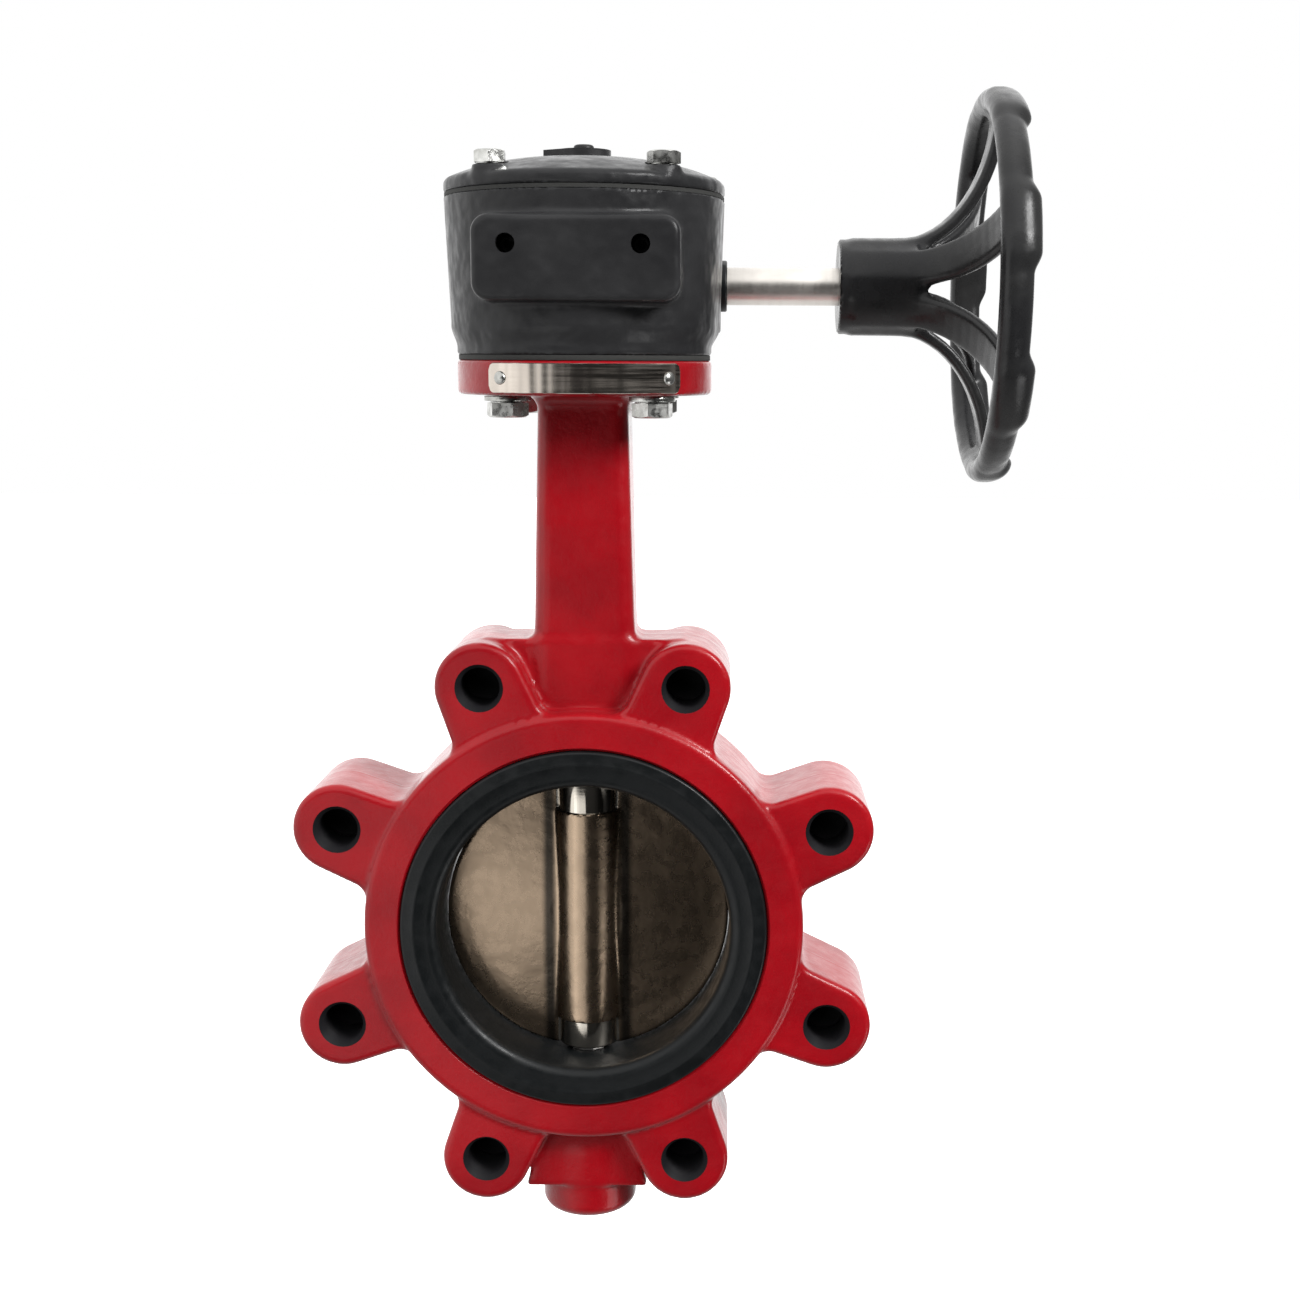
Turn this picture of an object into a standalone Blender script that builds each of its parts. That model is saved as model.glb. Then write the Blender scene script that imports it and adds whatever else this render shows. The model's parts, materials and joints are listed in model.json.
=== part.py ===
"""A lug-type butterfly valve, DN 100, with a worm gear operator and a handwheel.

Frame: metres, origin at the centre of the pipe bore, +X towards the handwheel, +Y along the
pipe, +Z up the stem. The disc is modelled closed, across the pipe.
"""

from math import acos, asin, cos, pi, radians, sin, sqrt, tan

import bmesh
import bpy
from mathutils import Matrix, Vector

# ---------------------------------------------------------------------------
# Driving dimensions, metres
# ---------------------------------------------------------------------------
GAP = 0.0003  # between pieces that touch on the real valve
PASS = 0.002  # how far a cutter runs past the face it opens

# Body casting
BORE_R = 0.0525  # liner bore, DN 100
RING_R = 0.079
RING_HALF = 0.026  # half the thickness of the ring between the pipe flanges
BOLT_CIRCLE_R = 0.09525  # eight bolts, 7.5 inch bolt circle
LUG_COUNT = 8
LUG_R = 0.016
LUG_HOLE_R = 0.008  # 5/8 inch bolts
LUG_HOLE_DEPTH = 0.021  # drilled from each face, with a wall left in the middle
LUG_HALF = 0.024
NECK_TOP_Z = 0.1905
TOP_FLANGE_R = 0.045  # F07 operator flange
TOP_FLANGE_Z = 0.2025
MOUNT_CIRCLE_R = 0.035  # F07: four M8 bolts on a 70 mm circle
BOSS_R = 0.0175
BOSS_Z = -0.115

# Liner and disc
LINER_BACK_R = 0.0607
LINER_LIP_R = 0.0660
LINER_HALF = 0.0272
LIP_INNER_Y = 0.0221
DISC_R = 0.05215
DISC_EDGE_HALF = 0.0035
HUB_R = 0.0125
HUB_END_Z = 0.0505

# Stem
STEM_R = 0.008
BUSH_R = 0.0102
LOWER_BUSH_Z = (-0.100, -0.075)
MIDDLE_BUSH_Z = (0.075, 0.100)
UPPER_BUSH_Z = (0.170, 0.1955)
STEM_BORE_R = 0.009  # between the bushes
STEM_TOP_Z = 0.262
SQUARE_HALF = 0.0055

# Gear operator
WORM_Y = 0.045
WORM_Z = 0.230
GEAR_TEETH = 24  # of the full circle; the quadrant carries seven of them
GEAR_MODULE = 0.00275
WORM_PITCH_R = WORM_Y - GEAR_TEETH * GEAR_MODULE / 2
PRESSURE_ANGLE = radians(20)
ADDENDUM = 0.0025
BACKLASH = 0.00035
FOOT_Z = 0.2041
FLOOR_Z = 0.2185
HOUSING_R = 0.0487  # the round front, centred on the stem
JOINT_Z = 0.2580  # top face of the housing
COVER_Z = 0.2591
COVER_EDGE_Z = 0.2635
COVER_CROWN_Z = 0.2722
STOP_X = 0.022
STOP_Z = 0.240
STOP_FACE_Y = -0.009

# Input shaft and handwheel
SHAFT_R = 0.007
SHAFT_INNER_R = 0.0055
HUB_START_X = 0.092
WHEEL_R = 0.073
WHEEL_X = 0.1505
WHEEL_HUB_R = 0.0175
SPOKE_COUNT = 6

# Segments round a circle
FINE = 60
MEDIUM = 28
COARSE = 12


# ---------------------------------------------------------------------------
# Materials: base colour, metallic, roughness
# ---------------------------------------------------------------------------
LOOKS = {
    "red_paint": ((0.46, 0.012, 0.02), 0.0, 0.35),
    "black_paint": ((0.012, 0.012, 0.013), 0.0, 0.25),
    "black_enamel": ((0.008, 0.008, 0.009), 0.0, 0.2),
    "black_rubber": ((0.012, 0.014, 0.015), 0.0, 0.6),
    "disc_bronze": ((0.29, 0.235, 0.17), 1.0, 0.45),
    "stainless": ((0.6, 0.58, 0.55), 1.0, 0.3),
    "zinc": ((0.62, 0.62, 0.6), 1.0, 0.35),
    "gear_iron": ((0.2, 0.2, 0.2), 1.0, 0.5),
    "bronze_bush": ((0.5, 0.33, 0.13), 1.0, 0.4),
    "tag_metal": ((0.75, 0.75, 0.74), 1.0, 0.3),
    "gasket": ((0.06, 0.06, 0.055), 0.0, 0.8),
}


def material(look):
    """One Principled material for each look, made the first time it is asked for."""
    found = bpy.data.materials.get(look)
    if found:
        return found
    colour, metallic, roughness = LOOKS[look]
    made = bpy.data.materials.new(look)
    made.use_nodes = True
    shader = made.node_tree.nodes["Principled BSDF"]
    shader.inputs["Base Color"].default_value = (*colour, 1.0)
    shader.inputs["Metallic"].default_value = metallic
    shader.inputs["Roughness"].default_value = roughness
    return made


# ---------------------------------------------------------------------------
# Shapes
# ---------------------------------------------------------------------------
TO_X = Matrix.Rotation(pi / 2, 4, "Y")
TO_Y = Matrix.Rotation(-pi / 2, 4, "X")


def circle(radius, segments, height=0.0):
    """Points of a horizontal circle, with a flat of the polygon facing +X."""
    turns = [2 * pi * (i + 0.5) / segments for i in range(segments)]
    return [(radius * cos(t), radius * sin(t), height) for t in turns]


def lathe(profile, segments=MEDIUM):
    """Turn a closed (radius, height) outline about +Z.

    An outline that starts and ends on the axis gives a solid with flat ends, and any other
    gives a ring.
    """
    bm = bmesh.new()
    is_solid = profile[0][0] == 0
    places = profile[1:-1] if is_solid else profile
    rings = [[bm.verts.new(point) for point in circle(r, segments, z)] for r, z in places]
    following = rings[1:] if is_solid else rings[1:] + rings[:1]
    for lower, upper in zip(rings, following):
        for i in range(segments):
            j = (i + 1) % segments
            bm.faces.new((lower[i], lower[j], upper[j], upper[i]))
    if is_solid:
        bm.faces.new(rings[0])
        bm.faces.new(rings[-1])
    bmesh.ops.recalc_face_normals(bm, faces=bm.faces)
    return bm


def rod(radius, low, high, segments=MEDIUM, chamfer=0.0):
    """A solid cylinder along +Z, with both end edges chamfered if asked."""
    if chamfer == 0:
        return lathe([(0, low), (radius, low), (radius, high), (0, high)], segments)
    return lathe(
        [
            (0, low),
            (radius - chamfer, low),
            (radius, low + chamfer),
            (radius, high - chamfer),
            (radius - chamfer, high),
            (0, high),
        ],
        segments,
    )


def tube(inner, outer, low, high, segments=MEDIUM):
    """A plain ring along +Z."""
    return lathe([(inner, low), (outer, low), (outer, high), (inner, high)], segments)


def loft(rings):
    """Join equal rings of points with side faces and close both ends."""
    bm = bmesh.new()
    made = [[bm.verts.new(point) for point in ring] for ring in rings]
    count = len(made[0])
    for lower, upper in zip(made, made[1:]):
        for i in range(count):
            j = (i + 1) % count
            bm.faces.new((lower[i], lower[j], upper[j], upper[i]))
    bm.faces.new(reversed(made[0]))
    bm.faces.new(made[-1])
    bmesh.ops.recalc_face_normals(bm, faces=bm.faces)
    bent = [face for face in bm.faces if is_bent(face)]
    bmesh.ops.triangulate(bm, faces=bent)
    return bm


def is_bent(face):
    """True where a face's corners don't lie in one plane, as on a twisted side."""
    start = face.verts[0].co
    return any(abs((vert.co - start).dot(face.normal)) > 1e-7 for vert in face.verts)


def prism(outline, low, high):
    """A flat (x, y) outline extruded along +Z."""
    return loft([[(x, y, z) for x, y in outline] for z in (low, high)])


def block(low, high):
    """A box between two corners."""
    (x0, y0, z0), (x1, y1, z1) = low, high
    return prism([(x0, y0), (x1, y0), (x1, y1), (x0, y1)], z0, z1)


def rounded(corners, radii, steps=4):
    """A polygon whose corners are replaced with arcs of the given radii."""
    outline = []
    count = len(corners)
    for i, (corner, radius) in enumerate(zip(corners, radii)):
        here = Vector(corner)
        back = (Vector(corners[i - 1]) - here).normalized()
        ahead = (Vector(corners[(i + 1) % count]) - here).normalized()
        half = acos(max(-1.0, min(1.0, back.dot(ahead)))) / 2
        centre = here + (back + ahead).normalized() * radius / sin(half)
        start = here + back * radius / tan(half) - centre
        sweep = pi - 2 * half
        if back.cross(ahead) > 0:
            sweep = -sweep
        for step in range(steps + 1):
            turned = Matrix.Rotation(sweep * step / steps, 2) @ start
            outline.append(tuple(centre + turned))
    return outline


def moved(bm, *transforms):
    """Apply the transforms in the order given and return the mesh."""
    for transform in transforms:
        bmesh.ops.transform(bm, matrix=transform, verts=bm.verts)
    return bm


def shift(x=0.0, y=0.0, z=0.0):
    return Matrix.Translation((x, y, z))


def together(*meshes):
    """Several meshes that don't touch, as one mesh for a single Boolean."""
    bm = bmesh.new()
    for part in meshes:
        carried = bpy.data.meshes.new("carried")
        part.to_mesh(carried)
        part.free()
        bm.from_mesh(carried)
        bpy.data.meshes.remove(carried)
    return bm


def add_object(name, bm, location):
    mesh = bpy.data.meshes.new(name)
    bm.to_mesh(mesh)
    bm.free()
    made = bpy.data.objects.new(name, mesh)
    made.location = location
    bpy.context.scene.collection.objects.link(made)
    return made


def piece(name, bm, look, location=(0.0, 0.0, 0.0)):
    """One sub-part of the valve, with its origin at location."""
    made = add_object(name, bm, location)
    made.data.materials.append(material(look))
    made.data.shade_smooth()
    made.data.set_sharp_from_angle(angle=radians(30))
    return made


def combine(target, operation, bm, label):
    """Join a shape to the target or cut it away, with a Boolean that stays live."""
    tool = add_object(f"{target.name}_{label}", bm, target.location)
    tool.hide_render = True
    tool.display_type = "WIRE"
    boolean = target.modifiers.new(label, "BOOLEAN")
    boolean.operation = operation
    boolean.solver = "EXACT"
    boolean.object = tool


def join(target, bm, label):
    combine(target, "UNION", bm, label)


def cut(target, bm, label):
    combine(target, "DIFFERENCE", bm, label)


def around(radius, count, first):
    """Centres of equally spaced (x, y) places on a circle, starting at the angle first."""
    turns = [first + 2 * pi * i / count for i in range(count)]
    return [(radius * cos(t), radius * sin(t)) for t in turns]


MOUNT_PLACES = around(MOUNT_CIRCLE_R, 4, pi / 4)


# ---------------------------------------------------------------------------
# Body casting
# ---------------------------------------------------------------------------
RECESS_FLOOR_Y = LIP_INNER_Y - GAP
BODY_BORE_R = LINER_BACK_R + GAP
RECESS_R = LINER_LIP_R + GAP
BUSH_BORE_R = BUSH_R + GAP
PLUG_R = 0.0122
PLUG_TOP_Z = -0.1045
MOUNT_HOLE_R = 0.0045
RIVET_R = 0.0013
RIVET_HOLE_R = 0.0016
TAG_MID = radians(-86)
TAG_HALF_SWEEP = radians(44.5)
RIVET_SWEEP = radians(38)
RIVET_Z = 0.1965


def body_ring():
    """The ring of the casting, with the liner's bore and its face recesses already in it."""
    edge = 0.0015
    outline = [
        (BODY_BORE_R, -RECESS_FLOOR_Y),
        (RECESS_R, -RECESS_FLOOR_Y),
        (RECESS_R, -RING_HALF),
        (RING_R - edge, -RING_HALF),
        (RING_R, -RING_HALF + edge),
        (RING_R, RING_HALF - edge),
        (RING_R - edge, RING_HALF),
        (RECESS_R, RING_HALF),
        (RECESS_R, RECESS_FLOOR_Y),
        (BODY_BORE_R, RECESS_FLOOR_Y),
    ]
    return moved(lathe(outline, FINE), TO_Y)


def lug(angle):
    """One bolt lug: a round end, with sides that widen towards the ring."""
    root_x = 0.07
    root_half = 0.0175
    end = [radians(80 - 160 * i / 8) for i in range(9)]
    outline = [(root_x, root_half)]
    outline += [(BOLT_CIRCLE_R + LUG_R * cos(t), LUG_R * sin(t)) for t in end]
    outline.append((root_x, -root_half))
    return moved(prism(outline, -LUG_HALF, LUG_HALF), TO_Y, Matrix.Rotation(angle, 4, "Y"))


def lug_angles():
    return [2 * pi * (i + 0.5) / LUG_COUNT for i in range(LUG_COUNT)]


def lug_holes():
    """Cutters for the blind bolt holes, one from each face of each lug."""
    bottom, mouth = LUG_HALF - LUG_HOLE_DEPTH, LUG_HALF + PASS
    holes = []
    for angle in lug_angles():
        place = shift(BOLT_CIRCLE_R * cos(angle), 0, BOLT_CIRCLE_R * sin(angle))
        for side in (-1, 1):
            low, high = sorted((side * bottom, side * mouth))
            holes.append(moved(rod(LUG_HOLE_R, low, high, 16), TO_Y, place))
    return holes


def section(width, depth, corner, height):
    """A rounded rectangle across the neck."""
    x, y = width / 2, depth / 2
    outline = rounded([(x, -y), (x, y), (-x, y), (-x, -y)], [corner] * 4, 3)
    return [(px, py, height) for px, py in outline]


def neck():
    return loft(
        [
            section(0.042, 0.040, 0.008, 0.0715),
            section(0.0385, 0.037, 0.008, 0.088),
            section(0.0355, 0.034, 0.008, 0.108),
            section(0.032, 0.032, 0.008, NECK_TOP_Z + PASS),
        ]
    )


def top_web():
    """The recessed saddle that ties the two top lugs to the neck."""
    half_width, low, shoulder, crest = 0.036, 0.066, 0.1005, 0.1045
    outline = [
        (-half_width, low),
        (half_width, low),
        (half_width, shoulder),
        (0.022, shoulder),
        (0.0155, crest),
        (-0.0155, crest),
        (-0.022, shoulder),
        (-half_width, shoulder),
    ]
    return upright(outline, 0.0145)


def bottom_web():
    """The web under the ring, which widens down to the end of the lower stem."""
    outline = [(-0.0225, -0.102), (0.0225, -0.102), (0.0135, -0.068), (-0.0135, -0.068)]
    return upright(outline, 0.0185)


def upright(outline, half_depth):
    """An (x, z) outline extruded along Y, both ways from the middle."""
    rings = [[(x, y, z) for x, z in outline] for y in (-half_depth, half_depth)]
    return loft(rings)


def upper_stem_bore():
    """Stepped: a bush pocket at each end of a bore with running clearance."""
    low, high = BORE_R, TOP_FLANGE_Z + PASS
    pocket_end = MIDDLE_BUSH_Z[1] + GAP
    pocket_start = UPPER_BUSH_Z[0] - GAP
    return lathe(
        [
            (0, low),
            (BUSH_BORE_R, low),
            (BUSH_BORE_R, pocket_end),
            (STEM_BORE_R, pocket_end),
            (STEM_BORE_R, pocket_start),
            (BUSH_BORE_R, pocket_start),
            (BUSH_BORE_R, high),
            (0, high),
        ],
        COARSE,
    )


def lower_stem_bore():
    """A bush pocket that opens below into the wider bore of the plug."""
    low, high = BOSS_Z - PASS, -BORE_R
    return lathe(
        [
            (0, low),
            (PLUG_R + GAP, low),
            (PLUG_R + GAP, PLUG_TOP_Z + GAP),
            (BUSH_BORE_R, PLUG_TOP_Z + GAP),
            (BUSH_BORE_R, high),
            (0, high),
        ],
        COARSE,
    )


def rivet_places():
    """Where each tag rivet stands: the angle round the flange, with its name."""
    return [("left", TAG_MID - RIVET_SWEEP), ("right", TAG_MID + RIVET_SWEEP)]


def radial(bm, angle):
    """Carry a shape made along +Z out along a radius of the top flange, at the rivets' height."""
    return moved(bm, TO_X, Matrix.Rotation(angle, 4, "Z"), shift(z=RIVET_Z))


def build_body():
    body = piece("valve_body", body_ring(), "red_paint")
    join(body, together(*[lug(angle) for angle in lug_angles()]), "lugs")
    join(body, neck(), "neck")
    join(body, top_web(), "top_web")
    join(body, bottom_web(), "bottom_web")
    join(body, rod(BOSS_R, BOSS_Z, -0.098, 24), "boss")
    join(body, rod(TOP_FLANGE_R, NECK_TOP_Z, TOP_FLANGE_Z, 40), "top_flange")

    cut(body, together(*lug_holes()), "lug_holes")
    low, high = NECK_TOP_Z - PASS, TOP_FLANGE_Z + PASS
    mount_holes = [
        moved(rod(MOUNT_HOLE_R, low, high, COARSE), shift(x, y)) for x, y in MOUNT_PLACES
    ]
    cut(body, together(*mount_holes), "mount_holes")
    cut(body, together(upper_stem_bore(), lower_stem_bore()), "stem_bores")
    rivet_holes = [radial(rod(RIVET_HOLE_R, 0.038, 0.048, 8), a) for _, a in rivet_places()]
    cut(body, together(*rivet_holes), "rivet_holes")


def build_stem_fittings():
    """Bushes, seal and plug that carry and close in the two stems."""
    bush_inner = STEM_R + GAP
    bushes = [("lower", LOWER_BUSH_Z), ("middle", MIDDLE_BUSH_Z), ("upper", UPPER_BUSH_Z)]
    for where, (low, high) in bushes:
        bush = tube(bush_inner, BUSH_R, low, high, COARSE)
        piece(f"{where}_stem_bushing", bush, "bronze_bush")

    seal_low = UPPER_BUSH_Z[1] + GAP
    seal_high = seal_low + 0.0034
    bulge = 0.0006
    seal = lathe(
        [
            (bush_inner + bulge, seal_low),
            (BUSH_R - bulge, seal_low),
            (BUSH_R, seal_low + bulge),
            (BUSH_R, seal_high - bulge),
            (BUSH_R - bulge, seal_high),
            (bush_inner + bulge, seal_high),
            (bush_inner, seal_high - bulge),
            (bush_inner, seal_low + bulge),
        ],
        COARSE,
    )
    piece("stem_seal", seal, "black_rubber")

    plug = piece("bottom_plug", rod(PLUG_R, BOSS_Z - GAP, PLUG_TOP_Z, COARSE, 0.0006), "zinc")
    socket_r = 0.01 / sqrt(3)
    cut(plug, rod(socket_r, BOSS_Z - PASS, BOSS_Z + 0.006, 6), "socket")


# ---------------------------------------------------------------------------
# Liner and disc
# ---------------------------------------------------------------------------
def build_liner():
    """A rubber sleeve with a lip on each face, pierced top and bottom for the stems."""
    mouth_r = BORE_R + 0.002
    mouth_y = LINER_HALF - 0.002
    half = [
        (BORE_R, mouth_y),
        (mouth_r, LINER_HALF),
        (LINER_LIP_R, LINER_HALF),
        (LINER_LIP_R, LIP_INNER_Y),
        (LINER_BACK_R, LIP_INNER_Y),
    ]
    outline = half + [(radius, -y) for radius, y in reversed(half)]
    liner = piece("seat_liner", moved(lathe(outline, FINE), TO_Y), "black_rubber")
    cut(liner, rod(STEM_R + GAP, -0.065, 0.065, COARSE), "stem_holes")


def build_disc():
    """A round plate that thickens towards the barrel which takes the stems."""
    edge_r = DISC_R - 0.003
    shoulder_r = 0.016
    shoulder_half = 0.0066
    outline = [
        (0, -shoulder_half),
        (shoulder_r, -shoulder_half),
        (edge_r, -DISC_EDGE_HALF),
        (DISC_R, -DISC_EDGE_HALF + 0.001),
        (DISC_R, DISC_EDGE_HALF - 0.001),
        (edge_r, DISC_EDGE_HALF),
        (shoulder_r, shoulder_half),
        (0, shoulder_half),
    ]
    disc = piece("disc", moved(lathe(outline, FINE), TO_Y), "disc_bronze")
    join(disc, rod(HUB_R, -HUB_END_Z, HUB_END_Z, MEDIUM), "barrel")
    flat = 0.06
    for side, label in ((1, "top_flat"), (-1, "bottom_flat")):
        low, high = sorted((side * HUB_END_Z, side * flat))
        cut(disc, block((-flat, -0.02, low), (flat, 0.02, high)), label)
    round_sockets = together(
        rod(STEM_R + GAP, 0.0455, flat, COARSE),
        rod(STEM_R + GAP, -flat, -0.0247, COARSE),
    )
    cut(disc, round_sockets, "round_sockets")
    reach = SQUARE_HALF + GAP
    square_socket = block((-reach, -reach, 0.0247), (reach, reach, 0.0465))
    cut(disc, square_socket, "square_socket")


def build_stems():
    """The upper stem drives the disc through a square end; the lower one only guides it."""
    square_low, round_low = 0.025, 0.0463
    stem = piece("upper_stem", rod(STEM_R, round_low, STEM_TOP_Z, COARSE), "stainless")
    square = block((-SQUARE_HALF, -SQUARE_HALF, square_low), (SQUARE_HALF, SQUARE_HALF, 0.05))
    join(stem, square, "square")
    keyway = block((0.005, -KEY_HALF - GAP, KEY_LOW_Z - GAP), (0.01, KEY_HALF + GAP, 0.27))
    cut(stem, keyway, "keyway")
    cut(stem, rod(0.0023, 0.249, 0.27, 8), "screw_hole")
    piece("lower_stem", rod(STEM_R, -0.1035, -0.025, COARSE, 0.0008), "stainless")


# ---------------------------------------------------------------------------
# Gearbox shells
# ---------------------------------------------------------------------------
SIDE_LEFT_X, SIDE_RIGHT_X = -0.045, 0.048  # walls of the worm case, behind the round front
BACK_Y = 0.067
BACK_CORNER_R = 0.009
CAVITY_CORNERS = [
    (-0.038, -0.015),
    (-0.0165, -0.0365),
    (0.0165, -0.0365),
    (0.041, -0.012),
    (0.041, 0.052),
    (0.033, 0.0602),
    (-0.030, 0.0602),
    (-0.038, 0.052),
]
COVER_BOLT_PLACES = [
    (-0.0289, -0.0314),
    (0.0289, -0.0314),
    (0.0408, 0.0598),
    (-0.0378, 0.0598),
]
FOOT_BORE_R = 0.0165
BEARING_R = 0.0122
BEARING_BORE_R = BEARING_R + GAP
COVER_SCREW_R = 0.003
COVER_HOLE_R = 0.0034
COVER_BOSS_R = 0.0060
COVER_BOSS_Z = 0.2664
PAD_FRONT_Y = -0.0512


def turn_through(centre, radius, start, end, steps):
    """Points of an arc between two angles."""
    turns = [start + (end - start) * i / steps for i in range(steps + 1)]
    return [(centre[0] + radius * cos(t), centre[1] + radius * sin(t)) for t in turns]


def housing_outline():
    """The plan of the gearbox: round in front of the stem, with the square worm case behind."""
    right = acos(SIDE_RIGHT_X / HOUSING_R)
    left = -2 * pi + acos(SIDE_LEFT_X / HOUSING_R)
    outline = turn_through((0, 0), HOUSING_R, left, right, 24)
    inset, corner_y = BACK_CORNER_R, BACK_Y - BACK_CORNER_R
    outline += turn_through((SIDE_RIGHT_X - inset, corner_y), inset, 0, pi / 2, 4)
    outline += turn_through((SIDE_LEFT_X + inset, corner_y), inset, pi / 2, pi, 4)
    return outline


def front_pad():
    """The raised panel on the front wall, which holds the two stop screws."""
    corners = [(-0.0335, 0.2215), (0.0350, 0.2215), (0.0350, 0.2495), (-0.0335, 0.2495)]
    outline = rounded(corners, [0.006] * 4, 3)
    rings = [[(x, y, z) for x, z in outline] for y in (-0.028, PAD_FRONT_Y)]
    return loft(rings)


def build_housing():
    box = prism(housing_outline(), 0.2085, JOINT_Z)
    housing = piece("gearbox_housing", box, "black_paint")
    join(housing, rod(0.0448, FOOT_Z, 0.2100, 40), "foot")
    join(housing, front_pad(), "front_pad")

    cut(housing, prism(CAVITY_CORNERS, FLOOR_Z, JOINT_Z + 0.003), "cavity")
    trough = block((-0.036, 0.0295, 0.2135), (0.036, 0.0602, FLOOR_Z + PASS))
    cut(housing, trough, "worm_trough")
    cut(housing, rod(FOOT_BORE_R, FOOT_Z - PASS, FLOOR_Z + PASS, 24), "foot_bore")

    shaft_bore = moved(rod(BEARING_BORE_R, -0.05, 0.055, 24), TO_X, shift(0, WORM_Y, WORM_Z))
    cut(housing, shaft_bore, "shaft_bore")
    stop_bores = [
        moved(rod(COVER_SCREW_R + GAP, -0.054, -0.012, COARSE), TO_Y, shift(x, 0, STOP_Z))
        for x in (-STOP_X, STOP_X)
    ]
    cut(housing, together(*stop_bores), "stop_bores")

    tapped = [
        moved(rod(0.0042, FOOT_Z - PASS, 0.2170, COARSE), shift(x, y)) for x, y in MOUNT_PLACES
    ]
    tapped += [
        moved(rod(COVER_SCREW_R + GAP, 0.2455, JOINT_Z + PASS, COARSE), shift(x, y))
        for x, y in COVER_BOLT_PLACES
    ]
    cut(housing, together(*tapped), "tapped_holes")


def crowned(scale, height):
    """The housing outline drawn in towards the middle of the cover, for its crown."""
    middle = Vector((0.0, 0.008))
    outline = [middle + (Vector(point) - middle) * scale for point in housing_outline()]
    return [(x, y, height) for x, y in outline]


def build_cover():
    """A crowned lid with a boss for each bolt and a hole for the position indicator."""
    rise = COVER_CROWN_Z - COVER_EDGE_Z
    rings = [crowned(1.0, COVER_Z), crowned(1.0, COVER_EDGE_Z)]
    rings += [crowned(s, COVER_EDGE_Z + rise * (1 - s**2.8)) for s in (0.96, 0.84, 0.66, 0.4)]
    cover = piece("gearbox_cover", loft(rings), "black_paint")

    bosses = [
        moved(rod(COVER_BOSS_R, 0.261, COVER_BOSS_Z, 16), shift(x, y)) for x, y in COVER_BOLT_PLACES
    ]
    join(cover, together(*bosses), "bosses")
    spot_faces = [
        moved(rod(COVER_BOSS_R + GAP, COVER_BOSS_Z, 0.275, 16), shift(x, y))
        for x, y in COVER_BOLT_PLACES
    ]
    cut(cover, together(*spot_faces), "spot_faces")
    bolt_holes = [
        moved(rod(COVER_HOLE_R, 0.255, 0.270, COARSE), shift(x, y)) for x, y in COVER_BOLT_PLACES
    ]
    cut(cover, together(*bolt_holes), "bolt_holes")
    cut(cover, rod(0.020, 0.255, 0.2640, 24), "inner_pocket")
    cut(cover, rod(INDICATOR_R + 0.0004, 0.255, 0.280, 24), "indicator_hole")


def build_gaskets():
    """The two flat gaskets: under the gearbox foot, and under its cover."""
    low, high = TOP_FLANGE_Z + GAP, FOOT_Z - GAP
    foot_gasket = piece("flange_gasket", tube(0.017, 0.0445, low, high, 40), "gasket")
    holes = [
        moved(rod(MOUNT_HOLE_R, low - 0.001, high + 0.001, COARSE), shift(x, y))
        for x, y in MOUNT_PLACES
    ]
    cut(foot_gasket, together(*holes), "bolt_holes")

    low, high = JOINT_Z + GAP, COVER_Z - GAP
    cover_gasket = piece("cover_gasket", prism(housing_outline(), low, high), "gasket")
    cut(cover_gasket, prism(CAVITY_CORNERS, low - 0.001, high + 0.001), "window")
    holes = [
        moved(rod(COVER_HOLE_R, low - 0.001, high + 0.001, COARSE), shift(x, y))
        for x, y in COVER_BOLT_PLACES
    ]
    cut(cover_gasket, together(*holes), "bolt_holes")


# ---------------------------------------------------------------------------
# Quadrant gear and worm
# ---------------------------------------------------------------------------
KEY_HALF = 0.0025
KEY_LOW_Z = 0.2250
KEY_HIGH_Z = 0.2440
INDICATOR_R = 0.008
GEAR_LOW_Z = 0.222
GEAR_HIGH_Z = 0.2435
GEAR_HUB_R = 0.015
JOURNAL_R = 0.013
GEAR_BORE_R = STEM_R + GAP
LEAD = pi * GEAR_MODULE
TOOTH_STEP = 2 * pi / GEAR_TEETH
QUADRANT_TEETH = 7
WORM_HUB_R = WORM_PITCH_R - 0.0032
GEAR_PITCH_R = GEAR_TEETH * GEAR_MODULE / 2
GEAR_BASE_R = GEAR_PITCH_R * cos(PRESSURE_ANGLE)
GEAR_TIP_R = GEAR_PITCH_R + ADDENDUM
GEAR_ROOT_R = GEAR_PITCH_R - 0.0031


def involute(angle):
    return tan(angle) - angle


def tooth_half_angle(radius):
    """Half the angle that a tooth fills at a radius; straight down below the base circle."""
    at_pitch = (LEAD / 2 - BACKLASH) / 2 / GEAR_PITCH_R
    pressure = acos(GEAR_BASE_R / max(radius, GEAR_BASE_R))
    return at_pitch + involute(PRESSURE_ANGLE) - involute(pressure)


def polar(radius, angle):
    return radius * cos(angle), radius * sin(angle)


def quadrant_outline(height):
    """The quadrant at one height: its teeth lean with the worm's lead, its two stops don't."""
    lean = (height - WORM_Z) / WORM_PITCH_R * LEAD / (2 * pi) / GEAR_PITCH_R
    corner = sqrt(GEAR_ROOT_R**2 - STOP_FACE_Y**2)
    outline = [(STOP_FACE_Y, STOP_FACE_Y), (corner, STOP_FACE_Y)]
    flank = (GEAR_ROOT_R, GEAR_BASE_R, GEAR_PITCH_R, GEAR_PITCH_R + 0.0013, GEAR_TIP_R)
    for tooth in range(QUADRANT_TEETH):
        middle = tooth * TOOTH_STEP + lean
        outline += [polar(r, middle - tooth_half_angle(r)) for r in flank]
        outline += [polar(r, middle + tooth_half_angle(r)) for r in reversed(flank)]
    outline.append((STOP_FACE_Y, corner))
    return [(x, y, height) for x, y in outline]


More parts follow.
